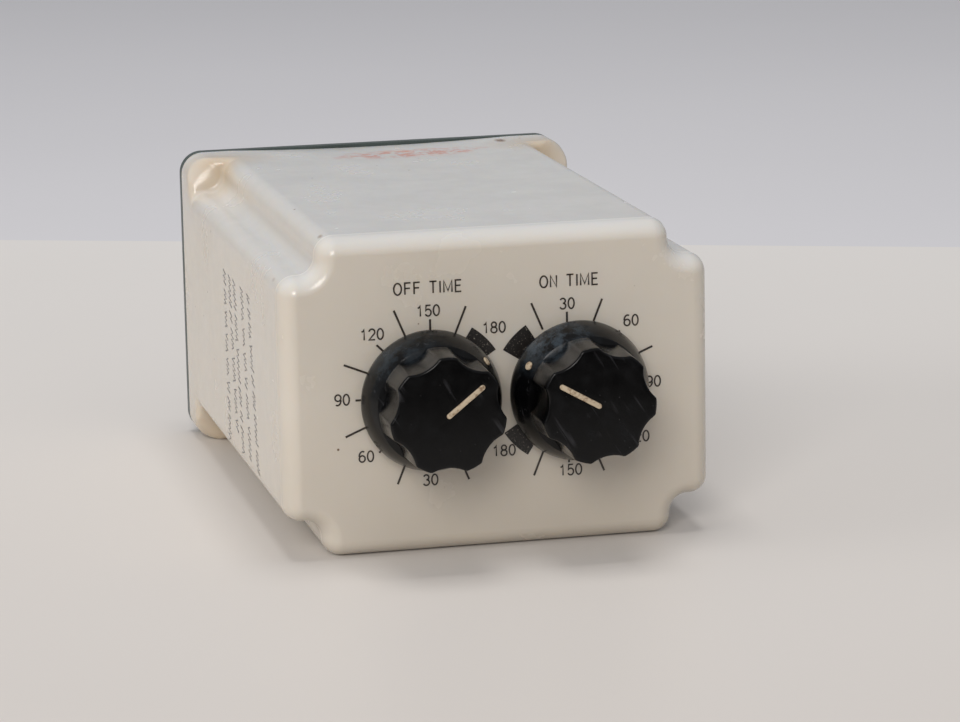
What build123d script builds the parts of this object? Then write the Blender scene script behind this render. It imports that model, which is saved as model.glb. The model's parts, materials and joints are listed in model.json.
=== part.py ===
"""Plug-in repeat-cycle timer for watering valves: notched nylon housing, two time dials,
and an octal plug at the back.

Millimetres. X is to the right of the dial panel, Y runs from the panel to the plug, and Z is up.
The timer lies on its long side. It is designed with the panel at Y = 0 and moved last, so that
the origin is on the surface it rests on, at the middle of its overall length and width.
"""
from build123d import *
import math
import os

# ---------------------------------------------------------------- housing
HOUSING_WIDTH = 60.3
HOUSING_HEIGHT = 44.45
HOUSING_DEPTH = 85.4
WALL = 2.0
PANEL_WALL = 2.4
FLANGE_RADIUS = 3.4
NOTCH_WIDTH = 5.4
NOTCH_HEIGHT = 5.2
NOTCH_INNER_RADIUS = 2.5
NOTCH_OUTER_RADIUS = 2.6
CAVITY_INNER_RADIUS = 4.3
CAVITY_OUTER_RADIUS = 0.8
PANEL_EDGE_RADIUS = 2.2
BOSS_LENGTH = 7.8
BOSS_OVERLAP = 1.0
TOP_SINK = 0.5
TOP_SINK_WIDTH = 43.4
TOP_SINK_LENGTH = 55.0

# ---------------------------------------------------------------- back plate, screws and plug
PLATE_THICKNESS = 1.6
SCREW_INSET = 4.5
SCREW_RADIUS = 1.45
SCREW_CLEARANCE_RADIUS = 1.7
SCREW_BITE = 5.6
SCREW_HEAD_RADIUS = 2.8
SCREW_HEAD_HEIGHT = 1.9
SCREW_HEAD_ROUNDING = 1.0
SCREW_RECESS_WIDTH = 0.8
SCREW_RECESS_LENGTH = 3.2
SCREW_RECESS_DEPTH = 1.0
PLUG_BOSS_RADIUS = 15.5
PLUG_BOSS_HEIGHT = 3.0
PLUG_SPIGOT_RADIUS = 12.5
PLUG_SPIGOT_LENGTH = 3.4
PLUG_GROOVE_DEPTH = 0.8
PLUG_EDGE = 0.6
RETAINER_RADIUS = 14.5
RETAINER_THICKNESS = 0.8
RETAINER_GAP = 4.0
KEY_RADIUS = 3.97
KEY_LENGTH = 14.0
KEY_RIB_WIDTH = 2.4
KEY_RIB_HEIGHT = 1.3
KEY_EDGE = 1.0
PIN_COUNT = 8
PIN_CIRCLE_RADIUS = 8.725
PIN_RADIUS = 1.18
PIN_ROOT_RADIUS = 1.0
PIN_LENGTH = 11.1
PIN_TAIL = 4.5
PIN_ROUNDING = 0.8

# ---------------------------------------------------------------- dials
DIALS = {"off": -10.1, "on": 10.65}
DIAL_Z = 22.0
POINTER_ANGLE = {"off": 38.0, "on": 150.0}
KNOB_TOP = 13.5
GRIP_BASE = 7.0
SKIRT_TOP_EDGE = 3.0
SKIRT_GAP = 2.3
SKIRT_RADIUS = 9.75
SKIRT_SHOULDER_RADIUS = 8.35
SKIRT_BULGE_RADIUS = 9.2
GRIP_BASE_RADIUS = 8.2
GRIP_TOP_RADIUS = 8.0
GRIP_EDGE_RADIUS = 0.35
LOBES = 7
SCALLOP_RADIUS = 5.0
SCALLOP_FLOOR_BASE = 7.45
SCALLOP_FLOOR_TOP = 7.05
KNOB_HOLLOW_RADIUS = 8.1
KNOB_HOLLOW_TOP = 3.6
POINTER_WIDTH = 0.8
POINTER_INNER_END = -0.3
POINTER_OUTER_END = 6.3
INLAY_DEPTH = 0.5
DOT_RADIUS = 0.68
DOT_CIRCLE_RADIUS = 9.05
DOT_RISE = 0.3

# ---------------------------------------------------------------- potentiometers
SHAFT_RADIUS = 3.0
SHAFT_FRONT = 12.0
SHAFT_BACK = 8.6
SHAFT_FLAT_DEPTH = 0.9
SHAFT_FLAT_LENGTH = 8.0
CLIP_THICKNESS = 0.4
CLIP_WIDTH = 2.6
CLIP_SHORTFALL = 1.0
SHAFT_RUNNING_CLEARANCE = 0.04
BUSHING_RADIUS = 4.7
BUSHING_FRONT = 2.3
NUT_ACROSS_FLATS = 12.7
NUT_THICKNESS = 2.0
WASHER_RADIUS = 7.2
WASHER_THICKNESS = 0.6
POT_RADIUS = 8.2
POT_FLANGE_THICKNESS = 1.5
POT_CASE_LENGTH = 8.0
POT_CASE_WALL = 0.5
TRACK_RADIUS = 7.5
TRACK_THICKNESS = 1.4
WIPER_RADIUS = 6.4
WIPER_THICKNESS = 1.2
WIPER_GAP = 0.08
WIPER_STANDOFF = 1.0
FINGER_SPAN = (4.4, 5.6)
FINGER_HALF_WIDTH = 0.6
SHAFT_CLIP_RADIUS = 4.2
SHAFT_CLIP_THICKNESS = 0.5
SHAFT_CLIP_GAP = 0.1
SHAFT_CLIP_HALF_MOUTH = 0.8
TERMINAL_SPACING = 4.0
TERMINAL_WIDTH = 1.0
TERMINAL_THICKNESS = 0.4
TERMINAL_DROP = 1.6
TERMINAL_RISE = 1.0
TERMINAL_REACH = 1.5
TRACK_TAB_HEIGHT = 3.7
TRACK_BORE_CLEARANCE = 0.5
TAB_CLEARANCE = 0.1

# ---------------------------------------------------------------- printed boards
BOARD_THICKNESS = 1.6
BOARD_WIDTH = 43.0
DIAL_BOARD_HEIGHT = 39.0
DIAL_BOARD_FRONT = 15.0
MAIN_BOARD_UNDERSIDE = 6.0
MAIN_BOARD_BACK = 78.0
BOARD_GAP = 0.2
HEADER_PIN = 0.64
HEADER_PITCH = 2.54
HEADER_PINS = 10
HEADER_HOLE_RADIUS = 0.5
HEADER_HEIGHT = 2.2
HEADER_REACH = 3.5
HEADER_TAIL = 1.5
TERMINAL_HOLE_RADIUS = 0.75
LEAD_RADIUS = 0.7
LEAD_BEND = 3.0
UPPER_LEAD_ROW = 69.0
LOWER_LEAD_ROW = 74.0

# ---------------------------------------------------------------- parts on the dial board
CHIP_X = 10.5
CHIP_Z = 35.5
CHIP_LENGTH = 19.0
CHIP_WIDTH = 6.4
CHIP_LIFT = 0.6
CHIP_THICKNESS = 3.3
CHIP_LEGS = 8
CHIP_LEG_HALF_WIDTH = 0.25
CHIP_LEG_HALF_THICKNESS = 0.32
CHIP_LEG_SPREAD = 0.3
RESISTOR_COLUMNS = (-14.0, -4.0, 6.0, 16.0)
RESISTOR_ROWS = (24.0, 28.0)
RESISTOR_RADIUS = 1.2
RESISTOR_LENGTH = 6.3
RESISTOR_LIFT = 1.3
RESISTOR_FOOT = 3.8
RESISTOR_LEAD_HALF = 0.2
BOX_CAPACITOR_COLUMNS = (-10.5, 0.5, 10.5)
BOX_CAPACITOR_Z = 18.5
BOX_CAPACITOR_SIZE = (7.2, 7.0, 3.6)

# ---------------------------------------------------------------- parts on the main board
CAN_X = -5.8
CAN_ROWS = (32.0, 43.0)
CAN_RADIUS = 5.0
CAN_HEIGHT = 16.0
CAN_ROUNDING = 0.5
DROPPER_X = -14.0
DROPPER_Y = 40.0
DROPPER_RADIUS = 3.0
DROPPER_LENGTH = 20.0
DROPPER_STANDOFF = 1.5
DROPPER_FOOT = 11.5
DROPPER_LEAD_RADIUS = 0.4
DIODE_COLUMNS = (4.0, 8.0, 12.0, 16.0)
DIODE_Y = 24.5
DIODE_RADIUS = 1.3
DIODE_LENGTH = 4.6
DIODE_LIFT = 1.4
DIODE_FOOT = 3.6
DIODE_LEAD_RADIUS = 0.35
VARISTOR_X = -17.0
VARISTOR_Y = 63.0
VARISTOR_RADIUS = 5.4
VARISTOR_THICKNESS = 3.6
VARISTOR_LIFT = 1.0
VARISTOR_LEAD_SPREAD = 2.5
VARISTOR_LEAD_RADIUS = 0.4
TRANSISTOR_X = 13.0
TRANSISTOR_Y = 30.0
TRANSISTOR_RADIUS = 2.4
TRANSISTOR_HEIGHT = 4.6
TRANSISTOR_LIFT = 2.0
TRANSISTOR_FLAT = 1.3
TRANSISTOR_LEAD_PITCH = 1.27
TRANSISTOR_LEAD_RADIUS = 0.25
FILM_CAPACITOR_X = (-8.0, -3.5)
FILM_CAPACITOR_Y = (50.0, 66.0)
FILM_CAPACITOR_HEIGHT = 11.0
FILM_CAPACITOR_ROUNDING = 0.6

# ---------------------------------------------------------------- relay
RELAY_X = 10.0
RELAY_FRONT = 36.0
RELAY_LENGTH = 28.0
RELAY_WIDTH = 21.0
RELAY_HEIGHT = 27.0
RELAY_BASE_HEIGHT = 3.0
RELAY_COVER_WALL = 0.8
RELAY_COVER_ROUNDING = 0.6
COIL_BACK_OFFSET = 10.0
COIL_RADIUS = 6.0
COIL_LENGTH = 12.0
CORE_RADIUS = 2.5
CORE_PROUD = 0.25
BOBBIN_FLANGE_RADIUS = 7.0
BOBBIN_FLANGE_THICKNESS = 1.0
BOBBIN_TUBE_RADIUS = 3.4
BOBBIN_CLEARANCE = 0.2
YOKE_THICKNESS = 1.6
YOKE_WIDTH = 12.0
ARMATURE_THICKNESS = 1.5
ARMATURE_GAP = 0.4
YOKE_CLEARANCE = 0.05
BLADE_THICKNESS = 0.3
BLADE_WIDTH = 3.0
BLADE_SPREAD = 4.2
CONTACT_RADIUS = 1.3
CONTACT_HEIGHT = 0.8
CONTACT_GAP = 0.82
REST_GAP = 0.02
STRIP_THICKNESS = 0.5
STRIP_CLEARANCE = 0.3
STRIP_UPRIGHT_HALF = 1.0
CARD_THICKNESS = 2.4
CARD_CLEARANCE = 2.0
CARD_CAP = 0.8
BLADE_CLEARANCE = 1.1
BLADE_ROOT = 0.4
CONTACT_SETBACK = 3.6
RETURN_LEAF_HALF = 2.5
RETURN_LEAF_THICKNESS = 0.3
RETURN_LEAF_LOW = 9.0
RETURN_LEAF_RISE = 0.6

# ---------------------------------------------------------------- derived places
NEAR = 0.01
HALF_WIDTH = HOUSING_WIDTH / 2
MIDDLE_Z = HOUSING_HEIGHT / 2
BOSS_FRONT = HOUSING_DEPTH - BOSS_LENGTH
PLATE_BACK = HOUSING_DEPTH + PLATE_THICKNESS
SEATING_FACE = PLATE_BACK + PLUG_BOSS_HEIGHT
OVERALL_BACK = SEATING_FACE + KEY_LENGTH
CENTRE_Y = (OVERALL_BACK - KNOB_TOP) / 2
POT_FRONT = PANEL_WALL + WASHER_THICKNESS
TRACK_FRONT = POT_FRONT + POT_FLANGE_THICKNESS
MAIN_BOARD_TOP = MAIN_BOARD_UNDERSIDE + BOARD_THICKNESS
DIAL_BOARD_BACK = DIAL_BOARD_FRONT + BOARD_THICKNESS
TERMINAL_Z = DIAL_Z - POT_RADIUS - TERMINAL_DROP
HEADER_Z = MAIN_BOARD_TOP + HEADER_HEIGHT
HEADER_Y = DIAL_BOARD_BACK + HEADER_REACH
RELAY_BACK = RELAY_FRONT + RELAY_LENGTH
RELAY_FLOOR = MAIN_BOARD_TOP + RELAY_BASE_HEIGHT
COIL_Y = RELAY_BACK - COIL_BACK_OFFSET
BOBBIN_LENGTH = COIL_LENGTH + 2 * BOBBIN_FLANGE_THICKNESS
CORE_TOP = RELAY_FLOOR + YOKE_THICKNESS + BOBBIN_LENGTH + CORE_PROUD
YOKE_TOP = CORE_TOP + ARMATURE_GAP
YOKE_LEG_FRONT = COIL_Y + BOBBIN_FLANGE_RADIUS + BOBBIN_CLEARANCE
YOKE_LEG_BACK = YOKE_LEG_FRONT + YOKE_THICKNESS
CARD_Y = COIL_Y - BOBBIN_FLANGE_RADIUS - CARD_CLEARANCE
BLADE_Z = YOKE_TOP + ARMATURE_THICKNESS + BLADE_CLEARANCE
CONTACT_Y = RELAY_FRONT + CONTACT_SETBACK


def save(name, shape):
    """Write one piece, moved from the panel's frame to the part's own frame."""
    export_step(Pos(0, -CENTRE_Y, 0) * shape, f"parts/{name}.step")


def group(shapes):
    """Separate solids that share one node."""
    return Compound(children=list(shapes))


def box(x, y, z):
    """A block from (low, high) pairs along each axis."""
    size = [span[1] - span[0] for span in (x, y, z)]
    middle = [(span[0] + span[1]) / 2 for span in (x, y, z)]
    return Pos(*middle) * Box(*size)


def prism(outline, front, back):
    """A flat outline, drawn in X and Z, run from front to back along Y."""
    return Pos(0, back, 0) * (Plane.XZ * extrude(outline, back - front))


def rod(radius, front, back, x=0.0, z=0.0):
    """A round bar along Y."""
    return prism(Pos(x, z) * Circle(radius), front, back)


def ring(outer, inner, front, back, x=0.0, z=0.0):
    """A round tube along Y."""
    return rod(outer, front, back, x, z) - rod(inner, front, back, x, z)


def post(radius, low, high, x, y):
    """A round bar along Z."""
    return Pos(x, y, (low + high) / 2) * Cylinder(radius, high - low)


def corners(inset_x, inset_z):
    """The four points that lie inside the housing's corners."""
    for side in (-1, 1):
        for end in (-1, 1):
            yield side * (HALF_WIDTH - inset_x), MIDDLE_Z + end * (MIDDLE_Z - inset_z)


# ---------------------------------------------------------------- housing and back
def full_outline():
    return Pos(0, MIDDLE_Z) * RectangleRounded(HOUSING_WIDTH, HOUSING_HEIGHT, FLANGE_RADIUS)


def notched_outline(inset, inner_radius, outer_radius):
    """The outline with a notch at each corner, moved inwards by inset."""
    half_width = HALF_WIDTH - inset
    half_height = MIDDLE_Z - inset
    outline = Rectangle(2 * half_width, 2 * half_height)
    for side in (-1, 1):
        for end in (-1, 1):
            notch = Rectangle(2 * NOTCH_WIDTH, 2 * NOTCH_HEIGHT)
            outline -= Pos(side * half_width, end * half_height) * notch
    outline = fillet(outline.vertices().filter_by(lambda v: is_inner(v, inset)), inner_radius)
    outer = outline.vertices().filter_by(lambda v: is_outer(v, inset))
    return Pos(0, MIDDLE_Z) * fillet(outer, outer_radius)


def is_inner(vertex, inset):
    """Whether a corner of the notched outline lies inside its rectangle."""
    off_side = abs(vertex.X) < HALF_WIDTH - inset - NEAR
    off_end = abs(vertex.Y) < MIDDLE_Z - inset - NEAR
    return off_side and off_end


def is_outer(vertex, inset):
    """Whether a corner lies on the rectangle's edge, at the full width or the full height."""
    at_side = abs(abs(vertex.X) - (HALF_WIDTH - inset)) < NEAR
    at_end = abs(abs(vertex.Y) - (MIDDLE_Z - inset)) < NEAR
    return at_side or at_end


def top_sink():
    """A very large cylinder that hollows the rear edge of the top wall, and fades forwards."""
    half = TOP_SINK_WIDTH / 2
    radius = (half**2 + TOP_SINK**2) / (2 * TOP_SINK)
    tilt = math.degrees(math.atan(TOP_SINK / TOP_SINK_LENGTH))
    roller = Rot(-tilt, 0, 0) * (Rot(90, 0, 0) * Cylinder(radius, 2 * TOP_SINK_LENGTH))
    return Pos(0, HOUSING_DEPTH, HOUSING_HEIGHT - TOP_SINK) * (Pos(0, 0, radius) * roller)


def housing():
    outline = notched_outline(0, NOTCH_INNER_RADIUS, NOTCH_OUTER_RADIUS)
    shell = prism(outline, 0, BOSS_FRONT + BOSS_OVERLAP)
    front_edges = shell.edges().filter_by(lambda e: e.center().Y < NEAR)
    shell = fillet(front_edges, PANEL_EDGE_RADIUS)
    shell += prism(full_outline(), BOSS_FRONT, HOUSING_DEPTH)
    cavity = notched_outline(WALL, CAVITY_INNER_RADIUS, CAVITY_OUTER_RADIUS)
    shell -= prism(cavity, PANEL_WALL, HOUSING_DEPTH)
    shell -= top_sink()
    for x in DIALS.values():
        shell -= rod(BUSHING_RADIUS, 0, PANEL_WALL, x, DIAL_Z)
    for x, z in corners(SCREW_INSET, SCREW_INSET):
        shell -= rod(SCREW_RADIUS, HOUSING_DEPTH - SCREW_BITE, HOUSING_DEPTH, x, z)
    return shell


def base_plate():
    plate = prism(full_outline(), HOUSING_DEPTH, PLATE_BACK)
    plate -= rod(PLUG_SPIGOT_RADIUS, HOUSING_DEPTH, PLATE_BACK, 0, MIDDLE_Z)
    for x, z in corners(SCREW_INSET, SCREW_INSET):
        plate -= rod(SCREW_CLEARANCE_RADIUS, HOUSING_DEPTH, PLATE_BACK, x, z)
    return plate


def base_screw(x, z):
    head_back = PLATE_BACK + SCREW_HEAD_HEIGHT
    head = rod(SCREW_HEAD_RADIUS, PLATE_BACK, head_back, x, z)
    head = fillet(head.edges().sort_by(Axis.Y)[-1], SCREW_HEAD_ROUNDING)
    screw = head + rod(SCREW_RADIUS, HOUSING_DEPTH - SCREW_BITE, PLATE_BACK, x, z)
    half = SCREW_RECESS_LENGTH / 2
    slot = SCREW_RECESS_WIDTH / 2
    depth = (head_back - SCREW_RECESS_DEPTH, head_back)
    screw -= box((x - half, x + half), depth, (z - slot, z + slot))
    screw -= box((x - slot, x + slot), depth, (z - half, z + half))
    return screw


def pin_places():
    """The eight plug pins, evenly spaced, with the key rib midway between two of them."""
    step = 2 * math.pi / PIN_COUNT
    for number in range(PIN_COUNT):
        angle = -math.pi / 2 + step * (number + 0.5)
        yield PIN_CIRCLE_RADIUS * math.cos(angle), MIDDLE_Z + PIN_CIRCLE_RADIUS * math.sin(angle)


def plug_base():
    spigot_front = HOUSING_DEPTH - PLUG_SPIGOT_LENGTH
    plug = rod(PLUG_BOSS_RADIUS, PLATE_BACK, SEATING_FACE, 0, MIDDLE_Z)
    plug = chamfer(plug.edges().sort_by(Axis.Y)[-1], PLUG_EDGE)
    plug += rod(PLUG_SPIGOT_RADIUS, spigot_front, PLATE_BACK, 0, MIDDLE_Z)
    groove_inner = PLUG_SPIGOT_RADIUS - PLUG_GROOVE_DEPTH
    groove_front = HOUSING_DEPTH - RETAINER_THICKNESS
    plug -= ring(PLUG_SPIGOT_RADIUS, groove_inner, groove_front, HOUSING_DEPTH, 0, MIDDLE_Z)
    for x, z in pin_places():
        plug -= rod(PIN_ROOT_RADIUS, spigot_front, SEATING_FACE, x, z)
    return plug


def plug_key():
    """The keyed centre post, which is moulded in one with the plug base."""
    key = rod(KEY_RADIUS, SEATING_FACE, OVERALL_BACK, 0, MIDDLE_Z)
    key = chamfer(key.edges().sort_by(Axis.Y)[-1], KEY_EDGE)
    rib_low = MIDDLE_Z - KEY_RADIUS - KEY_RIB_HEIGHT
    half = KEY_RIB_WIDTH / 2
    return key + box((-half, half), (SEATING_FACE, OVERALL_BACK - KEY_EDGE), (rib_low, MIDDLE_Z))


def plug_retainer():
    inner = PLUG_SPIGOT_RADIUS - PLUG_GROOVE_DEPTH
    front = HOUSING_DEPTH - RETAINER_THICKNESS
    snap_ring = ring(RETAINER_RADIUS, inner, front, HOUSING_DEPTH, 0, MIDDLE_Z)
    half = RETAINER_GAP / 2
    gap = box((-half, half), (front, HOUSING_DEPTH), (MIDDLE_Z, MIDDLE_Z + RETAINER_RADIUS))
    return snap_ring - gap


def plug_pin(x, z):
    """A pin with a round tip, on a thinner root that runs through the plug base."""
    pin = rod(PIN_RADIUS, SEATING_FACE, SEATING_FACE + PIN_LENGTH, x, z)
    pin = fillet(pin.edges().sort_by(Axis.Y)[-1], PIN_ROUNDING)
    return pin + rod(PIN_ROOT_RADIUS, HOUSING_DEPTH - PIN_TAIL, SEATING_FACE, x, z)


# ---------------------------------------------------------------- knobs
def around(name, shape):
    """Put a shape drawn on the dial axis, pointing along +X, onto a dial at its rest angle."""
    turned = Rot(0, -POINTER_ANGLE[name], 0) * shape
    return Pos(DIALS[name], 0, DIAL_Z) * turned


def knob_profile():
    """Half section of the skirt and grip, as radius and height above the panel."""
    outline = Polyline(
        (0, SKIRT_GAP),
        (SKIRT_RADIUS, SKIRT_GAP),
        (SKIRT_RADIUS, SKIRT_TOP_EDGE),
    ) + ThreePointArc(
        (SKIRT_RADIUS, SKIRT_TOP_EDGE),
        (SKIRT_BULGE_RADIUS, (SKIRT_TOP_EDGE + GRIP_BASE) / 2),
        (SKIRT_SHOULDER_RADIUS, GRIP_BASE),
    ) + Polyline(
        (SKIRT_SHOULDER_RADIUS, GRIP_BASE),
        (GRIP_BASE_RADIUS, GRIP_BASE),
        (GRIP_TOP_RADIUS, KNOB_TOP),
        (0, KNOB_TOP),
        (0, SKIRT_GAP),
    )
    return make_face(outline)


def scallop():
    """A cylinder that cuts one hollow into the grip, leaning in towards the top."""
    height = KNOB_TOP - GRIP_BASE
    lean = math.degrees(math.atan((SCALLOP_FLOOR_BASE - SCALLOP_FLOOR_TOP) / height))
    cutter = Pos(0, 0, height) * Cylinder(SCALLOP_RADIUS, 2 * height)
    leaning = Pos(SCALLOP_FLOOR_BASE + SCALLOP_RADIUS, 0, GRIP_BASE) * (Rot(0, -lean, 0) * cutter)
    reach = 4 * SCALLOP_RADIUS
    above = Pos(reach / 2, 0, GRIP_BASE + height) * Box(reach, reach, 2 * height)
    return leaning & above


def shaft_section(depth_cut):
    """The shaft's round section with a flat on the side away from the pointer."""
    flat = SHAFT_RADIUS - depth_cut
    return Circle(SHAFT_RADIUS) - Pos(-flat - SHAFT_RADIUS, 0) * Rectangle(
        2 * SHAFT_RADIUS, 2 * SHAFT_RADIUS
    )


def pointer_shape(depth):
    length = POINTER_OUTER_END - POINTER_INNER_END
    line = SlotOverall(length, POINTER_WIDTH)
    middle = (POINTER_OUTER_END + POINTER_INNER_END) / 2
    return Pos(middle, 0, KNOB_TOP - depth) * extrude(line, depth)


def dot_shape(depth):
    """A short peg that stands square to the skirt's slope."""
    slope = math.degrees(
        math.atan((GRIP_BASE - SKIRT_TOP_EDGE) / (SKIRT_RADIUS - SKIRT_SHOULDER_RADIUS))
    )
    height = (SKIRT_TOP_EDGE + GRIP_BASE) / 2 + DOT_RISE
    peg = Rot(0, slope, 0) * Cylinder(DOT_RADIUS, 2 * depth)
    return Pos(DOT_CIRCLE_RADIUS, 0, height) * peg


def upright_to_dial(shape):
    """Turn a shape drawn with +Z out of the panel so that it points along -Y."""
    return Rot(90, 0, 0) * shape


def knob(name):
    body = revolve(Plane.XZ * knob_profile(), Axis.Z)
    for number in range(LOBES):
        angle = 360 / LOBES * (number + 0.5)
        body -= Rot(0, 0, angle) * scallop()
    top_edges = body.edges().filter_by(lambda e: e.center().Z > KNOB_TOP - NEAR)
    body = fillet(top_edges, GRIP_EDGE_RADIUS)
    hollow_height = KNOB_HOLLOW_TOP - SKIRT_GAP
    body -= Pos(0, 0, SKIRT_GAP + hollow_height / 2) * Cylinder(KNOB_HOLLOW_RADIUS, hollow_height)
    flat_start = SHAFT_FRONT - SHAFT_FLAT_LENGTH
    body -= Pos(0, 0, KNOB_HOLLOW_TOP) * extrude(Circle(SHAFT_RADIUS), flat_start - KNOB_HOLLOW_TOP)
    flat_depth = SHAFT_FLAT_DEPTH - CLIP_THICKNESS
    body -= Pos(0, 0, flat_start) * extrude(shaft_section(flat_depth), SHAFT_FLAT_LENGTH)
    body -= pointer_shape(INLAY_DEPTH)
    body -= dot_shape(INLAY_DEPTH)
    return around(name, upright_to_dial(body))


def pointer(name):
    return around(name, upright_to_dial(pointer_shape(INLAY_DEPTH)))


def index_dot(name):
    """The skirt's peg, cut off level with the skirt."""
    skirt = revolve(Plane.XZ * knob_profile(), Axis.Z)
    return around(name, upright_to_dial(dot_shape(INLAY_DEPTH) & skirt))


def knob_clip(name):
    """A spring leaf between the shaft's flat and the knob's bore."""
    flat = SHAFT_RADIUS - SHAFT_FLAT_DEPTH
    start = SHAFT_FRONT - SHAFT_FLAT_LENGTH
    leaf = Pos(-flat - CLIP_THICKNESS / 2, 0, start + SHAFT_FLAT_LENGTH / 2) * Box(
        CLIP_THICKNESS, CLIP_WIDTH, SHAFT_FLAT_LENGTH - CLIP_SHORTFALL
    )
    return around(name, upright_to_dial(leaf))


# ---------------------------------------------------------------- potentiometers
def pot_shaft(name):
    start = SHAFT_FRONT - SHAFT_FLAT_LENGTH
    shaft = Pos(0, 0, -SHAFT_BACK) * extrude(Circle(SHAFT_RADIUS), SHAFT_BACK + start)
    shaft += Pos(0, 0, start) * extrude(shaft_section(SHAFT_FLAT_DEPTH), SHAFT_FLAT_LENGTH)
    return around(name, upright_to_dial(shaft))


def shaft_clip(name):
    """The snap ring that keeps the shaft in its bushing."""
    front = -BUSHING_FRONT - SHAFT_CLIP_THICKNESS - SHAFT_CLIP_GAP
    snap = ring(SHAFT_CLIP_RADIUS, SHAFT_RADIUS, front, front + SHAFT_CLIP_THICKNESS)
    mouth = (-SHAFT_CLIP_HALF_MOUTH, SHAFT_CLIP_HALF_MOUTH)
    snap -= box((-SHAFT_CLIP_RADIUS, 0), (front, 0), mouth)
    return Pos(DIALS[name], 0, DIAL_Z) * snap


def wiper(name):
    """Moulded rotor on the shaft, with a sprung finger that rides the track."""
    front = TRACK_FRONT + TRACK_THICKNESS + WIPER_STANDOFF
    rotor = ring(WIPER_RADIUS, SHAFT_RADIUS, front, front + WIPER_THICKNESS)
    finger_front = TRACK_FRONT + TRACK_THICKNESS + WIPER_GAP
    rotor += box(FINGER_SPAN, (finger_front, front), (-FINGER_HALF_WIDTH, FINGER_HALF_WIDTH))
    return Pos(DIALS[name], 0, DIAL_Z) * (Rot(0, -POINTER_ANGLE[name], 0) * rotor)


def pot_bushing(name):
    x = DIALS[name]
    bushing = rod(BUSHING_RADIUS, -BUSHING_FRONT, POT_FRONT, x, DIAL_Z)
    bushing += rod(POT_RADIUS, POT_FRONT, TRACK_FRONT, x, DIAL_Z)
    bore = SHAFT_RADIUS + SHAFT_RUNNING_CLEARANCE
    return bushing - rod(bore, -BUSHING_FRONT, TRACK_FRONT, x, DIAL_Z)


def pot_nut(name):
    hexagon = RegularPolygon(NUT_ACROSS_FLATS / 2, 6, major_radius=False)
    nut = prism(hexagon, -NUT_THICKNESS, 0) - rod(BUSHING_RADIUS, -NUT_THICKNESS, 0)
    return Pos(DIALS[name], 0, DIAL_Z) * nut


def pot_washer(name):
    return ring(WASHER_RADIUS, BUSHING_RADIUS, PANEL_WALL, POT_FRONT, DIALS[name], DIAL_Z)


def pot_case(name):
    x = DIALS[name]
    back = TRACK_FRONT + POT_CASE_LENGTH
    case = rod(POT_RADIUS, TRACK_FRONT, back, x, DIAL_Z)
    case -= rod(POT_RADIUS - POT_CASE_WALL, TRACK_FRONT, back - POT_CASE_WALL, x, DIAL_Z)
    slot = TERMINAL_SPACING + TERMINAL_WIDTH
    window = box(
        (x - slot, x + slot),
        (TRACK_FRONT, TRACK_FRONT + TRACK_THICKNESS),
        (DIAL_Z - POT_RADIUS, DIAL_Z),
    )
    return case - window


def pot_track(name):
    """Phenolic wafer that carries the resistance track, with a tab for the terminals."""
    x = DIALS[name]
    back = TRACK_FRONT + TRACK_THICKNESS
    tab_half = TERMINAL_SPACING + TERMINAL_WIDTH - TAB_CLEARANCE
    tab_low = DIAL_Z - TRACK_RADIUS - TRACK_TAB_HEIGHT
    wafer = rod(TRACK_RADIUS, TRACK_FRONT, back, x, DIAL_Z)
    wafer += box((x - tab_half, x + tab_half), (TRACK_FRONT, back), (tab_low, DIAL_Z - tab_half))
    return wafer - rod(SHAFT_RADIUS + TRACK_BORE_CLEARANCE, TRACK_FRONT, back, x, DIAL_Z)


def pot_terminal(x):
    """A flat tongue riveted to the wafer's tab, bent back through the dial board."""
    front = TRACK_FRONT + TRACK_THICKNESS
    back = DIAL_BOARD_BACK + TERMINAL_REACH
    across = (x - TERMINAL_WIDTH / 2, x + TERMINAL_WIDTH / 2)
    low = TERMINAL_Z - TERMINAL_RISE - TERMINAL_THICKNESS / 2
    upright = box(across, (front, front + TERMINAL_THICKNESS), (low, TERMINAL_Z + TERMINAL_RISE))
    return upright + box(across, (front, back), (low, low + TERMINAL_THICKNESS))


def pot_terminals(name):
    return group(pot_terminal(DIALS[name] + TERMINAL_SPACING * step) for step in (-1, 0, 1))


# ---------------------------------------------------------------- boards and electronics
def dial_board():
    half = BOARD_WIDTH / 2
    low = MIDDLE_Z - DIAL_BOARD_HEIGHT / 2
    high = MIDDLE_Z + DIAL_BOARD_HEIGHT / 2
    board = box((-half, half), (DIAL_BOARD_FRONT, DIAL_BOARD_BACK), (low, high))
    for x in DIALS.values():
        for step in (-1, 0, 1):
            hole_x = x + TERMINAL_SPACING * step
            hole_z = TERMINAL_Z - TERMINAL_RISE
            board -= rod(TERMINAL_HOLE_RADIUS, DIAL_BOARD_FRONT, DIAL_BOARD_BACK, hole_x, hole_z)
    for x in header_places():
        board -= rod(HEADER_HOLE_RADIUS, DIAL_BOARD_FRONT, DIAL_BOARD_BACK, x, HEADER_Z)
    return board


def main_board():
    half = BOARD_WIDTH / 2
    front = DIAL_BOARD_BACK + BOARD_GAP
    board = box((-half, half), (front, MAIN_BOARD_BACK), (MAIN_BOARD_UNDERSIDE, MAIN_BOARD_TOP))
    for x in header_places():
        board -= post(HEADER_HOLE_RADIUS, MAIN_BOARD_UNDERSIDE, MAIN_BOARD_TOP, x, HEADER_Y)
    for x, z in pin_places():
        board -= post(LEAD_RADIUS, MAIN_BOARD_UNDERSIDE, MAIN_BOARD_TOP, x, lead_row(z))
    return board


def header_places():
    """X of each pin that joins the two boards."""
    first = -HEADER_PITCH * (HEADER_PINS - 1) / 2
    return [first + HEADER_PITCH * number for number in range(HEADER_PINS)]


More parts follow.
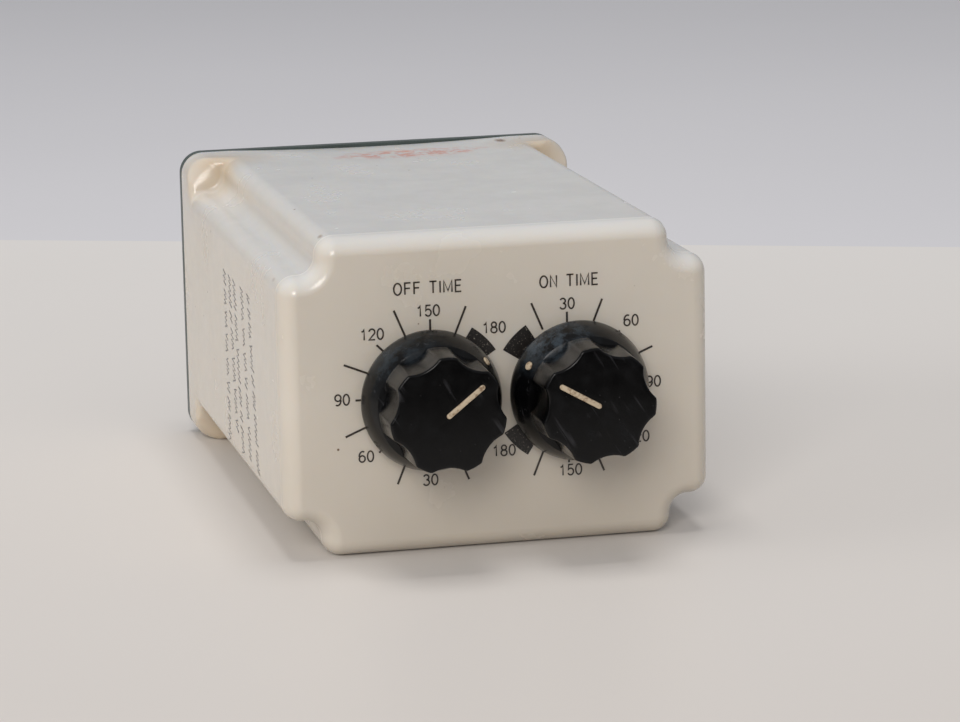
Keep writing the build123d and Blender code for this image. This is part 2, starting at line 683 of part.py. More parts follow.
def header_pin(x):
    """A square pin bent at a right angle: through the dial board and down into the main board."""
    half = HEADER_PIN / 2
    across = (x - half, x + half)
    front = DIAL_BOARD_FRONT - HEADER_TAIL
    level = box(across, (front, HEADER_Y + half), (HEADER_Z - half, HEADER_Z + half))
    low = MAIN_BOARD_UNDERSIDE - HEADER_TAIL
    return level + box(across, (HEADER_Y - half, HEADER_Y + half), (low, HEADER_Z))


def lead_row(z):
    """Y where a plug lead enters the main board: upper pins use the row further forward."""
    return UPPER_LEAD_ROW if z > MIDDLE_Z else LOWER_LEAD_ROW


def pin_lead(x, z):
    """One insulated wire from a plug pin, forwards and then down into the main board."""
    start = HOUSING_DEPTH - PIN_TAIL
    path = FilletPolyline(
        (x, start, z),
        (x, lead_row(z), z),
        (x, lead_row(z), MAIN_BOARD_UNDERSIDE),
        radius=LEAD_BEND,
    )
    section = Plane(origin=(x, start, z), z_dir=(0, -1, 0)) * Circle(LEAD_RADIUS)
    return sweep(section, path=path)


def chip(x, z):
    """A dual in-line package on the back of the dial board, with its two rows of pins."""
    half_length = CHIP_LENGTH / 2
    half_width = CHIP_WIDTH / 2
    front = DIAL_BOARD_BACK + CHIP_LIFT
    thickness = (front, front + CHIP_THICKNESS)
    body = box((x - half_length, x + half_length), thickness, (z - half_width, z + half_width))
    for number in range(CHIP_LEGS):
        leg_x = x + HEADER_PITCH * (number - (CHIP_LEGS - 1) / 2)
        for side in (-1, 1):
            leg_z = z + side * (half_width + CHIP_LEG_SPREAD)
            body += box(
                (leg_x - CHIP_LEG_HALF_WIDTH, leg_x + CHIP_LEG_HALF_WIDTH),
                (DIAL_BOARD_BACK, front + CHIP_THICKNESS / 2),
                (leg_z - CHIP_LEG_HALF_THICKNESS, leg_z + CHIP_LEG_HALF_THICKNESS),
            )
    return body


def lying_resistor(x, z):
    """A small axial resistor on the back of the dial board."""
    half = RESISTOR_LEAD_HALF
    height = DIAL_BOARD_BACK + RESISTOR_LIFT
    cylinder = Rot(0, 90, 0) * Cylinder(RESISTOR_RADIUS, RESISTOR_LENGTH)
    body = Pos(x, height, z) * cylinder
    ends = (x - RESISTOR_FOOT - half, x + RESISTOR_FOOT + half)
    body += box(ends, (height - half, height + half), (z - half, z + half))
    for side in (-1, 1):
        foot = x + side * RESISTOR_FOOT
        body += box((foot - half, foot + half), (DIAL_BOARD_BACK, height + half), (z - half, z + half))
    return body


def timing_capacitor(x, z):
    width, height, thickness = BOX_CAPACITOR_SIZE
    return box(
        (x - width / 2, x + width / 2),
        (DIAL_BOARD_BACK, DIAL_BOARD_BACK + height),
        (z - thickness / 2, z + thickness / 2),
    )


def filter_capacitor(y):
    """An electrolytic capacitor standing on the main board."""
    can = post(CAN_RADIUS, MAIN_BOARD_TOP, MAIN_BOARD_TOP + CAN_HEIGHT, CAN_X, y)
    return fillet(can.edges().sort_by(Axis.Z)[-1], CAN_ROUNDING)


def dropper_resistor():
    """The power resistor that feeds the logic, lying across the main board on its leads."""
    height = MAIN_BOARD_TOP + DROPPER_RADIUS + DROPPER_STANDOFF
    lead = DROPPER_LEAD_RADIUS
    half = DROPPER_LENGTH / 2
    body = rod(DROPPER_RADIUS, DROPPER_Y - half, DROPPER_Y + half, DROPPER_X, height)
    body += rod(lead, DROPPER_Y - DROPPER_FOOT, DROPPER_Y + DROPPER_FOOT, DROPPER_X, height)
    for side in (-1, 1):
        body += post(lead, MAIN_BOARD_TOP, height + lead, DROPPER_X, DROPPER_Y + side * DROPPER_FOOT)
    return body


def rectifier_diode(x):
    """A small axial diode lying on the main board."""
    height = MAIN_BOARD_TOP + DIODE_LIFT
    lead = DIODE_LEAD_RADIUS
    half = DIODE_LENGTH / 2
    body = rod(DIODE_RADIUS, DIODE_Y - half, DIODE_Y + half, x, height)
    body += rod(lead, DIODE_Y - DIODE_FOOT, DIODE_Y + DIODE_FOOT, x, height)
    for side in (-1, 1):
        body += post(lead, MAIN_BOARD_TOP, height + lead, x, DIODE_Y + side * DIODE_FOOT)
    return body


def varistor():
    """A disc that stands on the main board and clips surges on the supply."""
    middle = MAIN_BOARD_TOP + VARISTOR_LIFT + VARISTOR_RADIUS
    disc = Rot(0, 90, 0) * Cylinder(VARISTOR_RADIUS, VARISTOR_THICKNESS)
    body = Pos(VARISTOR_X, VARISTOR_Y, middle) * disc
    for side in (-1, 1):
        y = VARISTOR_Y + side * VARISTOR_LEAD_SPREAD
        body += post(VARISTOR_LEAD_RADIUS, MAIN_BOARD_TOP, middle, VARISTOR_X, y)
    return body


def driver_transistor():
    """The small transistor that switches the relay coil: a round can with one flat side."""
    low = MAIN_BOARD_TOP + TRANSISTOR_LIFT
    high = low + TRANSISTOR_HEIGHT
    across = (TRANSISTOR_X - TRANSISTOR_RADIUS, TRANSISTOR_X + TRANSISTOR_RADIUS)
    behind = (TRANSISTOR_Y + TRANSISTOR_FLAT, TRANSISTOR_Y + TRANSISTOR_RADIUS)
    body = post(TRANSISTOR_RADIUS, low, high, TRANSISTOR_X, TRANSISTOR_Y)
    body -= box(across, behind, (low, high))
    for step in (-1, 0, 1):
        x = TRANSISTOR_X + step * TRANSISTOR_LEAD_PITCH
        body += post(TRANSISTOR_LEAD_RADIUS, MAIN_BOARD_TOP, low, x, TRANSISTOR_Y)
    return body


def film_capacitor():
    height = (MAIN_BOARD_TOP, MAIN_BOARD_TOP + FILM_CAPACITOR_HEIGHT)
    block = box(FILM_CAPACITOR_X, FILM_CAPACITOR_Y, height)
    return fillet(block.edges().filter_by(Axis.Z), FILM_CAPACITOR_ROUNDING)


# ---------------------------------------------------------------- relay
def relay_base():
    half = RELAY_WIDTH / 2
    across = (RELAY_X - half, RELAY_X + half)
    return box(across, (RELAY_FRONT, RELAY_BACK), (MAIN_BOARD_TOP, RELAY_FLOOR))


def relay_cover():
    half = RELAY_WIDTH / 2
    wall = RELAY_COVER_WALL
    top = MAIN_BOARD_TOP + RELAY_HEIGHT
    outer = box((RELAY_X - half, RELAY_X + half), (RELAY_FRONT, RELAY_BACK), (RELAY_FLOOR, top))
    rounded = outer.edges().filter_by(Axis.Z) + outer.edges().group_by(Axis.Z)[-1]
    outer = fillet(rounded, RELAY_COVER_ROUNDING)
    inner = box(
        (RELAY_X - half + wall, RELAY_X + half - wall),
        (RELAY_FRONT + wall, RELAY_BACK - wall),
        (RELAY_FLOOR, top - wall),
    )
    return outer - inner


def relay_yoke():
    """An L-shaped iron frame: foot under the coil, and a leg up behind it."""
    half = YOKE_WIDTH / 2
    across = (RELAY_X - half, RELAY_X + half)
    foot_top = RELAY_FLOOR + YOKE_THICKNESS
    leg = (YOKE_LEG_FRONT, YOKE_LEG_BACK)
    yoke = box(across, (COIL_Y - BOBBIN_FLANGE_RADIUS, YOKE_LEG_BACK), (RELAY_FLOOR, foot_top))
    yoke += box(across, leg, (RELAY_FLOOR, YOKE_TOP - YOKE_CLEARANCE))
    return yoke - post(CORE_RADIUS, RELAY_FLOOR, foot_top, RELAY_X, COIL_Y)


def relay_core():
    return post(CORE_RADIUS, RELAY_FLOOR, CORE_TOP, RELAY_X, COIL_Y)


def relay_bobbin():
    low = RELAY_FLOOR + YOKE_THICKNESS
    high = low + BOBBIN_LENGTH
    bobbin = post(BOBBIN_TUBE_RADIUS, low, high, RELAY_X, COIL_Y)
    bobbin += post(BOBBIN_FLANGE_RADIUS, low, low + BOBBIN_FLANGE_THICKNESS, RELAY_X, COIL_Y)
    bobbin += post(BOBBIN_FLANGE_RADIUS, high - BOBBIN_FLANGE_THICKNESS, high, RELAY_X, COIL_Y)
    return bobbin - post(CORE_RADIUS, low, high, RELAY_X, COIL_Y)


def relay_coil():
    low = RELAY_FLOOR + YOKE_THICKNESS + BOBBIN_FLANGE_THICKNESS
    winding = post(COIL_RADIUS, low, low + COIL_LENGTH, RELAY_X, COIL_Y)
    return winding - post(BOBBIN_TUBE_RADIUS, low, low + COIL_LENGTH, RELAY_X, COIL_Y)


def relay_armature():
    half = YOKE_WIDTH / 2
    return box(
        (RELAY_X - half, RELAY_X + half),
        (CARD_Y, YOKE_LEG_BACK - YOKE_CLEARANCE),
        (YOKE_TOP, YOKE_TOP + ARMATURE_THICKNESS),
    )


def relay_card():
    """The insulating block on the armature's free end that carries both moving blades."""
    half = YOKE_WIDTH / 2
    block_top = BLADE_Z + BLADE_THICKNESS + CARD_CAP
    block = box(
        (RELAY_X - half, RELAY_X + half),
        (CARD_Y - CARD_THICKNESS, CARD_Y),
        (YOKE_TOP, block_top),
    )
    for side in (-1, 1):
        x = RELAY_X + side * BLADE_SPREAD
        block -= box(
            (x - BLADE_WIDTH / 2, x + BLADE_WIDTH / 2),
            (CARD_Y - CARD_THICKNESS, CARD_Y - BLADE_ROOT),
            (BLADE_Z, BLADE_Z + BLADE_THICKNESS),
        )
    return block


def moving_contact(x):
    """A springy blade with a contact rivet through its end."""
    half = BLADE_WIDTH / 2
    blade = box(
        (x - half, x + half),
        (CONTACT_Y - half, CARD_Y - BLADE_ROOT),
        (BLADE_Z, BLADE_Z + BLADE_THICKNESS),
    )
    low = BLADE_Z - CONTACT_HEIGHT
    high = BLADE_Z + BLADE_THICKNESS + CONTACT_HEIGHT
    return blade + post(CONTACT_RADIUS, low, high, x, CONTACT_Y)


def fixed_contact(x, face, direction, front, upright_front):
    """A contact strip: rivet and tongue at the top, and an upright standing in the relay base.

    direction is +1 where the tongue lies above its rivet's face and -1 where it lies below.
    """
    half = BLADE_WIDTH / 2
    tongue_face = face + direction * CONTACT_HEIGHT
    tongue_far = tongue_face + direction * STRIP_THICKNESS
    low, high = sorted((face, tongue_face))
    strip = post(CONTACT_RADIUS, low, high, x, CONTACT_Y)
    tongue = sorted((tongue_face, tongue_far))
    strip += box((x - half, x + half), (front, CONTACT_Y + half), tongue)
    upright = (upright_front, upright_front + STRIP_THICKNESS)
    across = (x - STRIP_UPRIGHT_HALF, x + STRIP_UPRIGHT_HALF)
    return strip + box(across, upright, (RELAY_FLOOR, tongue[1]))


def relay_break_contact(x):
    """Rest-side contact: the moving contact sits just below it while the coil is off."""
    face = BLADE_Z + BLADE_THICKNESS + CONTACT_HEIGHT + REST_GAP
    front = RELAY_FRONT + RELAY_COVER_WALL + STRIP_CLEARANCE
    return fixed_contact(x, face, 1, front, front)


def relay_make_contact(x):
    """Work-side contact: the moving contact comes down onto it when the coil pulls in."""
    face = BLADE_Z - CONTACT_HEIGHT - CONTACT_GAP
    half = BLADE_WIDTH / 2
    front = CONTACT_Y - half
    return fixed_contact(x, face, -1, front, CONTACT_Y + half - STRIP_THICKNESS)


def relay_spring():
    """A leaf on the yoke's back that presses the armature's tail and opens the gap."""
    across = (RELAY_X - RETURN_LEAF_HALF, RELAY_X + RETURN_LEAF_HALF)
    thickness = (YOKE_LEG_BACK, YOKE_LEG_BACK + RETURN_LEAF_THICKNESS)
    top = YOKE_TOP + ARMATURE_THICKNESS + RETURN_LEAF_RISE
    return box(across, thickness, (YOKE_TOP - RETURN_LEAF_LOW, top))


def blade_places():
    return [RELAY_X - BLADE_SPREAD, RELAY_X + BLADE_SPREAD]


# ---------------------------------------------------------------- all pieces
def write_housing():
    save("housing", housing())
    save("base_plate", base_plate())
    save("base_screws", group(base_screw(x, z) for x, z in corners(SCREW_INSET, SCREW_INSET)))
    save("plug_base", plug_base())
    save("plug_key", plug_key())
    save("plug_retainer", plug_retainer())
    save("plug_pins", group(plug_pin(x, z) for x, z in pin_places()))


def write_dials():
    makers = {
        "knob": knob,
        "pointer": pointer,
        "index_dot": index_dot,
        "knob_clip": knob_clip,
        "pot_shaft": pot_shaft,
        "shaft_clip": shaft_clip,
        "wiper": wiper,
        "pot_bushing": pot_bushing,
        "pot_nut": pot_nut,
        "pot_washer": pot_washer,
        "pot_case": pot_case,
        "pot_track": pot_track,
        "pot_terminals": pot_terminals,
    }
    for name in DIALS:
        for piece, make in makers.items():
            save(f"{name}_{piece}", make(name))


def write_electronics():
    save("dial_board", dial_board())
    save("main_board", main_board())
    save("board_header", group(header_pin(x) for x in header_places()))
    save("pin_leads", group(pin_lead(x, z) for x, z in pin_places()))
    save("timing_chips", group(chip(x, CHIP_Z) for x in (-CHIP_X, CHIP_X)))
    save(
        "timing_resistors",
        group(lying_resistor(x, z) for x in RESISTOR_COLUMNS for z in RESISTOR_ROWS),
    )
    save(
        "timing_capacitors",
        group(timing_capacitor(x, BOX_CAPACITOR_Z) for x in BOX_CAPACITOR_COLUMNS),
    )
    save("filter_capacitors", group(filter_capacitor(y) for y in CAN_ROWS))
    save("dropper_resistor", dropper_resistor())
    save("rectifier_diodes", group(rectifier_diode(x) for x in DIODE_COLUMNS))
    save("varistor", varistor())
    save("driver_transistor", driver_transistor())
    save("film_capacitor", film_capacitor())


def write_relay():
    save("relay_base", relay_base())
    save("relay_cover", relay_cover())
    save("relay_yoke", relay_yoke())
    save("relay_core", relay_core())
    save("relay_bobbin", relay_bobbin())
    save("relay_coil", relay_coil())
    save("relay_armature", relay_armature())
    save("relay_card", relay_card())
    save("relay_moving_contacts", group(moving_contact(x) for x in blade_places()))
    save("relay_break_contacts", group(relay_break_contact(x) for x in blade_places()))
    save("relay_make_contacts", group(relay_make_contact(x) for x in blade_places()))
    save("relay_spring", relay_spring())


os.makedirs("parts", exist_ok=True)
write_housing()
write_dials()
write_electronics()
write_relay()
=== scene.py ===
"""Looks of the plug-in repeat-cycle timer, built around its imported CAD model.

Metres, in the part's own frame: X to the right of the dial panel, Y from the panel to the plug,
Z up. Small sizes are written as a number of millimetres times MM.
"""
import json
import math
import random

import bpy
from mathutils import Matrix, Vector


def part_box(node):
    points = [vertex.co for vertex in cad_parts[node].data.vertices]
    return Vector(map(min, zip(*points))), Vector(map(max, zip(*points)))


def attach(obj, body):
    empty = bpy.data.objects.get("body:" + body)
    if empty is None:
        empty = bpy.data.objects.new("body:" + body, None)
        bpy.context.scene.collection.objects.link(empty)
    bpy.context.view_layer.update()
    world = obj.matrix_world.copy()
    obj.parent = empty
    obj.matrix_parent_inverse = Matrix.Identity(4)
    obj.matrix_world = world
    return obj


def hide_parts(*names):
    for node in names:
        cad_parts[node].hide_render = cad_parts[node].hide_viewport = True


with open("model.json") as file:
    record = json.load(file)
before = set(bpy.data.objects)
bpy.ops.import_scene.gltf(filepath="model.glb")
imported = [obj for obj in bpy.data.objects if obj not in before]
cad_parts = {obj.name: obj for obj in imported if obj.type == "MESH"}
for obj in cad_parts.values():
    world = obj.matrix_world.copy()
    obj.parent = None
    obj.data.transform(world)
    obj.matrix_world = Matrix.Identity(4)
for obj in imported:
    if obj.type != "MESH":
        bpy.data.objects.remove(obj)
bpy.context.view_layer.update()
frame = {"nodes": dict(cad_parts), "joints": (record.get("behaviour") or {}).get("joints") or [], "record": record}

MM = 0.001
RANDOM = random.Random(20)

# ------------------------------------------------------------ places read from the frame
HOUSING_LOW, HOUSING_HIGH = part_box("housing")
PANEL_Y = HOUSING_LOW.y
BACK_Y = HOUSING_HIGH.y
HALF_WIDTH = HOUSING_HIGH.x
HEIGHT = HOUSING_HIGH.z
MIDDLE_Z = HEIGHT / 2
DIAL_AXES = {
    joint["child"].split("_")[0]: Vector(joint["pos_m"])
    for joint in frame["joints"]
    if joint["child"].endswith("_dial")
}

# ------------------------------------------------------------ camera
CAMERA_AZIMUTH = -12.95
CAMERA_ELEVATION = 11.68
CAMERA_ROLL = -1.11
CAMERA_DISTANCE = 520.65 * MM
CAMERA_LENS = 142.9
CAMERA_TARGET = Vector((-2.64 * MM, PANEL_Y, 26.45 * MM))

# ------------------------------------------------------------ stage
FLOOR_HALF = 6.0
HORIZON_NORMAL = (0.371, 0.929)
HORIZON_START = 198.7 * MM
FLOOR_FADE = (-0.12, 0.20)
WORLD_COLOR = (0.84, 0.85, 0.88, 1)
WORLD_STRENGTH = 0.39
LIGHT_AIM = (0, 0, 0.02)
# each light: place, width of its square in metres, power in watts, colour
KEY_LIGHT = ((-0.40, -1.0, 0.55), 0.5, 6.6, (1.0, 0.96, 0.92))
SIDE_LIGHT = ((-1.1, -0.05, 0.38), 0.6, 3.4, (1.0, 0.97, 0.94))
OVERHEAD_LIGHT = ((0.0, 0.05, 1.0), 0.4, 4.0, (1.0, 0.98, 0.96))
DARK_CARD_START = PANEL_Y - 100 * MM
DARK_CARD_LENGTH = 1.2
DARK_CARD_HALF_WIDTH = 1.0
DARK_CARD_HEIGHT = 1 * MM

# ------------------------------------------------------------ housing shape
NOTCH_WIDTH = 5.4 * MM
NOTCH_HEIGHT = 5.2 * MM
NOTCH_INNER_RADIUS = 2.5 * MM
NOTCH_OUTER_RADIUS = 2.6 * MM
SMALLEST_RADIUS = 0.1 * MM
FLANGE_RADIUS = 3.4 * MM
PANEL_EDGE_INSET = 2.5 * MM
PANEL_EDGE_DEPTH = 3.2 * MM
RIDGE_HEIGHT = 0.07 * MM
RIDGE_HALF_WIDTH = 0.22 * MM
RIM_EDGE = 0.35 * MM
BOSS_LENGTH = 7.8 * MM
BOSS_EDGE = 4.4 * MM
BOSS_EDGE_SHARE = 0.8
BOSS_EDGE_DEPTH_SHARE = 0.75
BOSS_FOOT = 0.9 * MM
BOSS_SPREAD = 2.0 * MM
WALL = 2.0 * MM
PANEL_WALL = 2.4 * MM
TOP_SINK = 0.5 * MM
TOP_SINK_HALF = 21.7 * MM
TOP_SINK_LENGTH = 50 * MM
TOP_BAND = 3 * MM
BUSHING_RADIUS = 4.75 * MM
BUSHING_HOLE_POINTS = 64
OUTER_ARC_STEPS = 10
INNER_ARC_STEPS = 12
SIDE_STEPS = 16

# ------------------------------------------------------------ knob shape, heights above the panel
LOBES = 7
KNOB_TOP = 13.5 * MM
GRIP_BASE = 7.0 * MM
SKIRT_GAP = 2.3 * MM
SKIRT_EDGE = 3.0 * MM
SKIRT_RADIUS = 9.75 * MM
SKIRT_BULGE = 0.2 * MM
SHOULDER_RADIUS = 8.35 * MM
LOBE_BASE_RADIUS = 8.2 * MM
LOBE_TOP_RADIUS = 8.0 * MM
LOBE_SOFTNESS = 0.22 * MM
SCALLOP_RADIUS = 5.0 * MM
SCALLOP_FLOOR_BASE = 7.45 * MM
SCALLOP_FLOOR_TOP = 7.05 * MM
KNOB_EDGE = 0.3 * MM
GRIP_FOOT_SPREAD = 0.03 * MM
GRIP_FOOT_HEIGHT = 0.12 * MM
KNOB_HOLLOW_RADIUS = 8.1 * MM
KNOB_HOLLOW_TOP = 3.6 * MM
KNOB_POINTS = 336
# painted reflection: a bluish patch at the upper left of each knob, put into its colour; shift from the dial axis,
# strength, radii and depth in front of the panel
PAINTED_SHEEN_SHIFT = {"off": (-5.8 * MM, 6.8 * MM), "on": (-5.2 * MM, 7.6 * MM)}
PAINTED_SHEEN_STRENGTH = {"off": 0.4, "on": 1.0}
PAINTED_SHEEN_RADII = (4.5 * MM, 3 * MM, 3 * MM)
PAINTED_SHEEN_DEPTH = 5 * MM
POINTER_ANGLE = {"off": 38.0, "on": 150.0}
POINTER_INNER_END = -0.3 * MM
POINTER_OUTER_END = 6.3 * MM
POINTER_HALF_WIDTH = 0.37 * MM
GROOVE_CLEARANCE = 0.05 * MM
INLAY_DEPTH = 0.45 * MM
POINTER_PROUD = 0.05 * MM
POINTER_EDGE = 0.12 * MM
DOT_RADIUS = 0.6 * MM
DOT_PROUD = 0.09 * MM
DOT_EDGE = 0.1 * MM
DOT_CIRCLE_RADIUS = 9.05 * MM

# ------------------------------------------------------------ dial print, around the print centre
PRINT_CENTRE_X = {"off": -9.9 * MM, "on": 9.9 * MM}
PRINT_CENTRE_Z = 21.7 * MM
TICK_SHIFT = {"off": (0.4 * MM, 0.4 * MM), "on": (-0.2 * MM, 0.25 * MM)}
ZERO_ANGLE = {"off": 315.0, "on": 135.0}
DEGREES_PER_UNIT = 1.5
SCALE_END = 180
LONG_TICKS = range(15, SCALE_END, 30)
SHORT_TICKS = range(30, SCALE_END, 30)
TICK_START = 9.0 * MM
LONG_TICK_END = 13.1 * MM
SHORT_TICK_END = 10.6 * MM
BLOCK_HALF_ANGLE = 12.4
BLOCK_START = 7.5 * MM
BLOCK_END = 10.8 * MM
INK_LIFT = 0.012 * MM
INK_THICKNESS = 0.03 * MM
TICK_WIDTH = 0.29 * MM
STROKE_WIDTH = 0.22 * MM
DIGIT_HEIGHT = 1.47 * MM
TITLE_HEIGHT = 1.6 * MM
# widths as shares of a character's height
DIGIT_WIDTH = 0.62
ADVANCE = 0.785
LETTER_ADVANCES = {"O": 0.86, "N": 0.84, "F": 0.80, "T": 0.80, "I": 0.42, "M": 0.96, " ": 0.62}
MITRE_LIMIT = 1.6
SHARPEST_MITRE = 0.2
# millimetres across and up from the print centre
LABELS = {
    "off": {
        30: (0.0, -11.4),
        60: (-8.9, -7.5),
        90: (-12.05, 0.6),
        120: (-7.7, 9.4),
        150: (0.15, 12.2),
        180: (9.3, 9.3),
    },
    "on": {
        30: (-0.15, 12.0),
        60: (8.9, 9.1),
        90: (12.0, 0.3),
        120: (9.7, -7.35),
        150: (0.0, -11.4),
        180: (-9.4, -8.0),
    },
}
# millimetres across and up in the part's own frame
TITLES = {"off": ("OFF TIME", (-9.7, 37.1)), "on": ("ON TIME", (10.1, 36.9))}

# ------------------------------------------------------------ marks on the side wall
# each column, in millimetres: distance behind the panel at its top and at its bottom, then the
# heights of its top and its bottom
SIDE_COLUMNS = (
    (46.3, 45.5, 32.7, 9.3),
    (42.0, 38.8, 32.6, 9.6),
    (37.9, 34.2, 32.6, 10.2),
    (31.5, 28.2, 32.6, 9.6),
    (25.9, 22.0, 32.6, 10.6),
)
SCRIBBLE_HALF = 1.35 * MM
SCRIBBLE_REACH = (0.45, 1.0)
SCRIBBLE_STEPS = (0.26 * MM, 0.50 * MM)
SCRIBBLE_TURNS = (4, 13)
SCRIBBLE_GAP = 0.55 * MM
SCRIBBLE_WIDTH = 0.24 * MM


# ============================================================ mesh helpers
def new_object(name, vertices, faces, smooth=True):
    mesh = bpy.data.meshes.new(name)
    mesh.from_pydata([tuple(v) for v in vertices], [], faces)
    mesh.validate()
    mesh.update()
    if smooth:
        mesh.polygons.foreach_set("use_smooth", [True] * len(mesh.polygons))
    obj = bpy.data.objects.new(name, mesh)
    bpy.context.scene.collection.objects.link(obj)
    return obj


def skin_rings(rings):
    """Faces that join closed rings of equal length, one after another."""
    count = len(rings[0])
    faces = []
    for ring in range(len(rings) - 1):
        for point in range(count):
            following = (point + 1) % count
            faces.append((
                ring * count + point,
                ring * count + following,
                (ring + 1) * count + following,
                (ring + 1) * count + point,
            ))
    return faces


def ring_object(name, rings):
    """A closed body skinned over rings, with a flat cap on the first and the last."""
    count = len(rings[0])
    vertices = [point for ring in rings for point in ring]
    faces = skin_rings(rings)
    faces.append(tuple(reversed(range(count))))
    first = (len(rings) - 1) * count
    faces.append(tuple(range(first, first + count)))
    return new_object(name, vertices, faces)


def keep_flats(obj):
    """Even shading on the flat faces, with the roundings left soft."""
    modifier = obj.modifiers.new("flats", "WEIGHTED_NORMAL")
    modifier.keep_sharp = True
    modifier.weight = 80


def apply_modifiers(obj):
    graph = bpy.context.evaluated_depsgraph_get()
    mesh = bpy.data.meshes.new_from_object(obj.evaluated_get(graph))
    obj.modifiers.clear()
    obj.data = mesh


def cut(obj, tool):
    """Remove the tool's space from the object, and the tool itself."""
    modifier = obj.modifiers.new("cut", "BOOLEAN")
    modifier.operation = "DIFFERENCE"
    modifier.solver = "EXACT"
    modifier.object = tool
    apply_modifiers(obj)
    bpy.data.objects.remove(tool)


def arc(centre, radius, start, end, steps):
    """Points on an arc, in degrees, both ends included."""
    return oval(centre, (radius, radius), start, end, steps)


def oval(centre, radii, start, end, steps=20):
    """Points on part of an ellipse, in degrees, both ends included."""
    points = []
    for step in range(steps + 1):
        angle = math.radians(start + (end - start) * step / steps)
        x = centre[0] + radii[0] * math.cos(angle)
        points.append((x, centre[1] + radii[1] * math.sin(angle)))
    return points


def straight(start, end, steps):
    """Points between two ends, neither included."""
    return [
        (start[0] + (end[0] - start[0]) * k / steps, start[1] + (end[1] - start[1]) * k / steps)
        for k in range(1, steps)
    ]


def finish_piece(obj, material, body):
    """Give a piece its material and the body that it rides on."""
    use(obj, material)
    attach(obj, body)


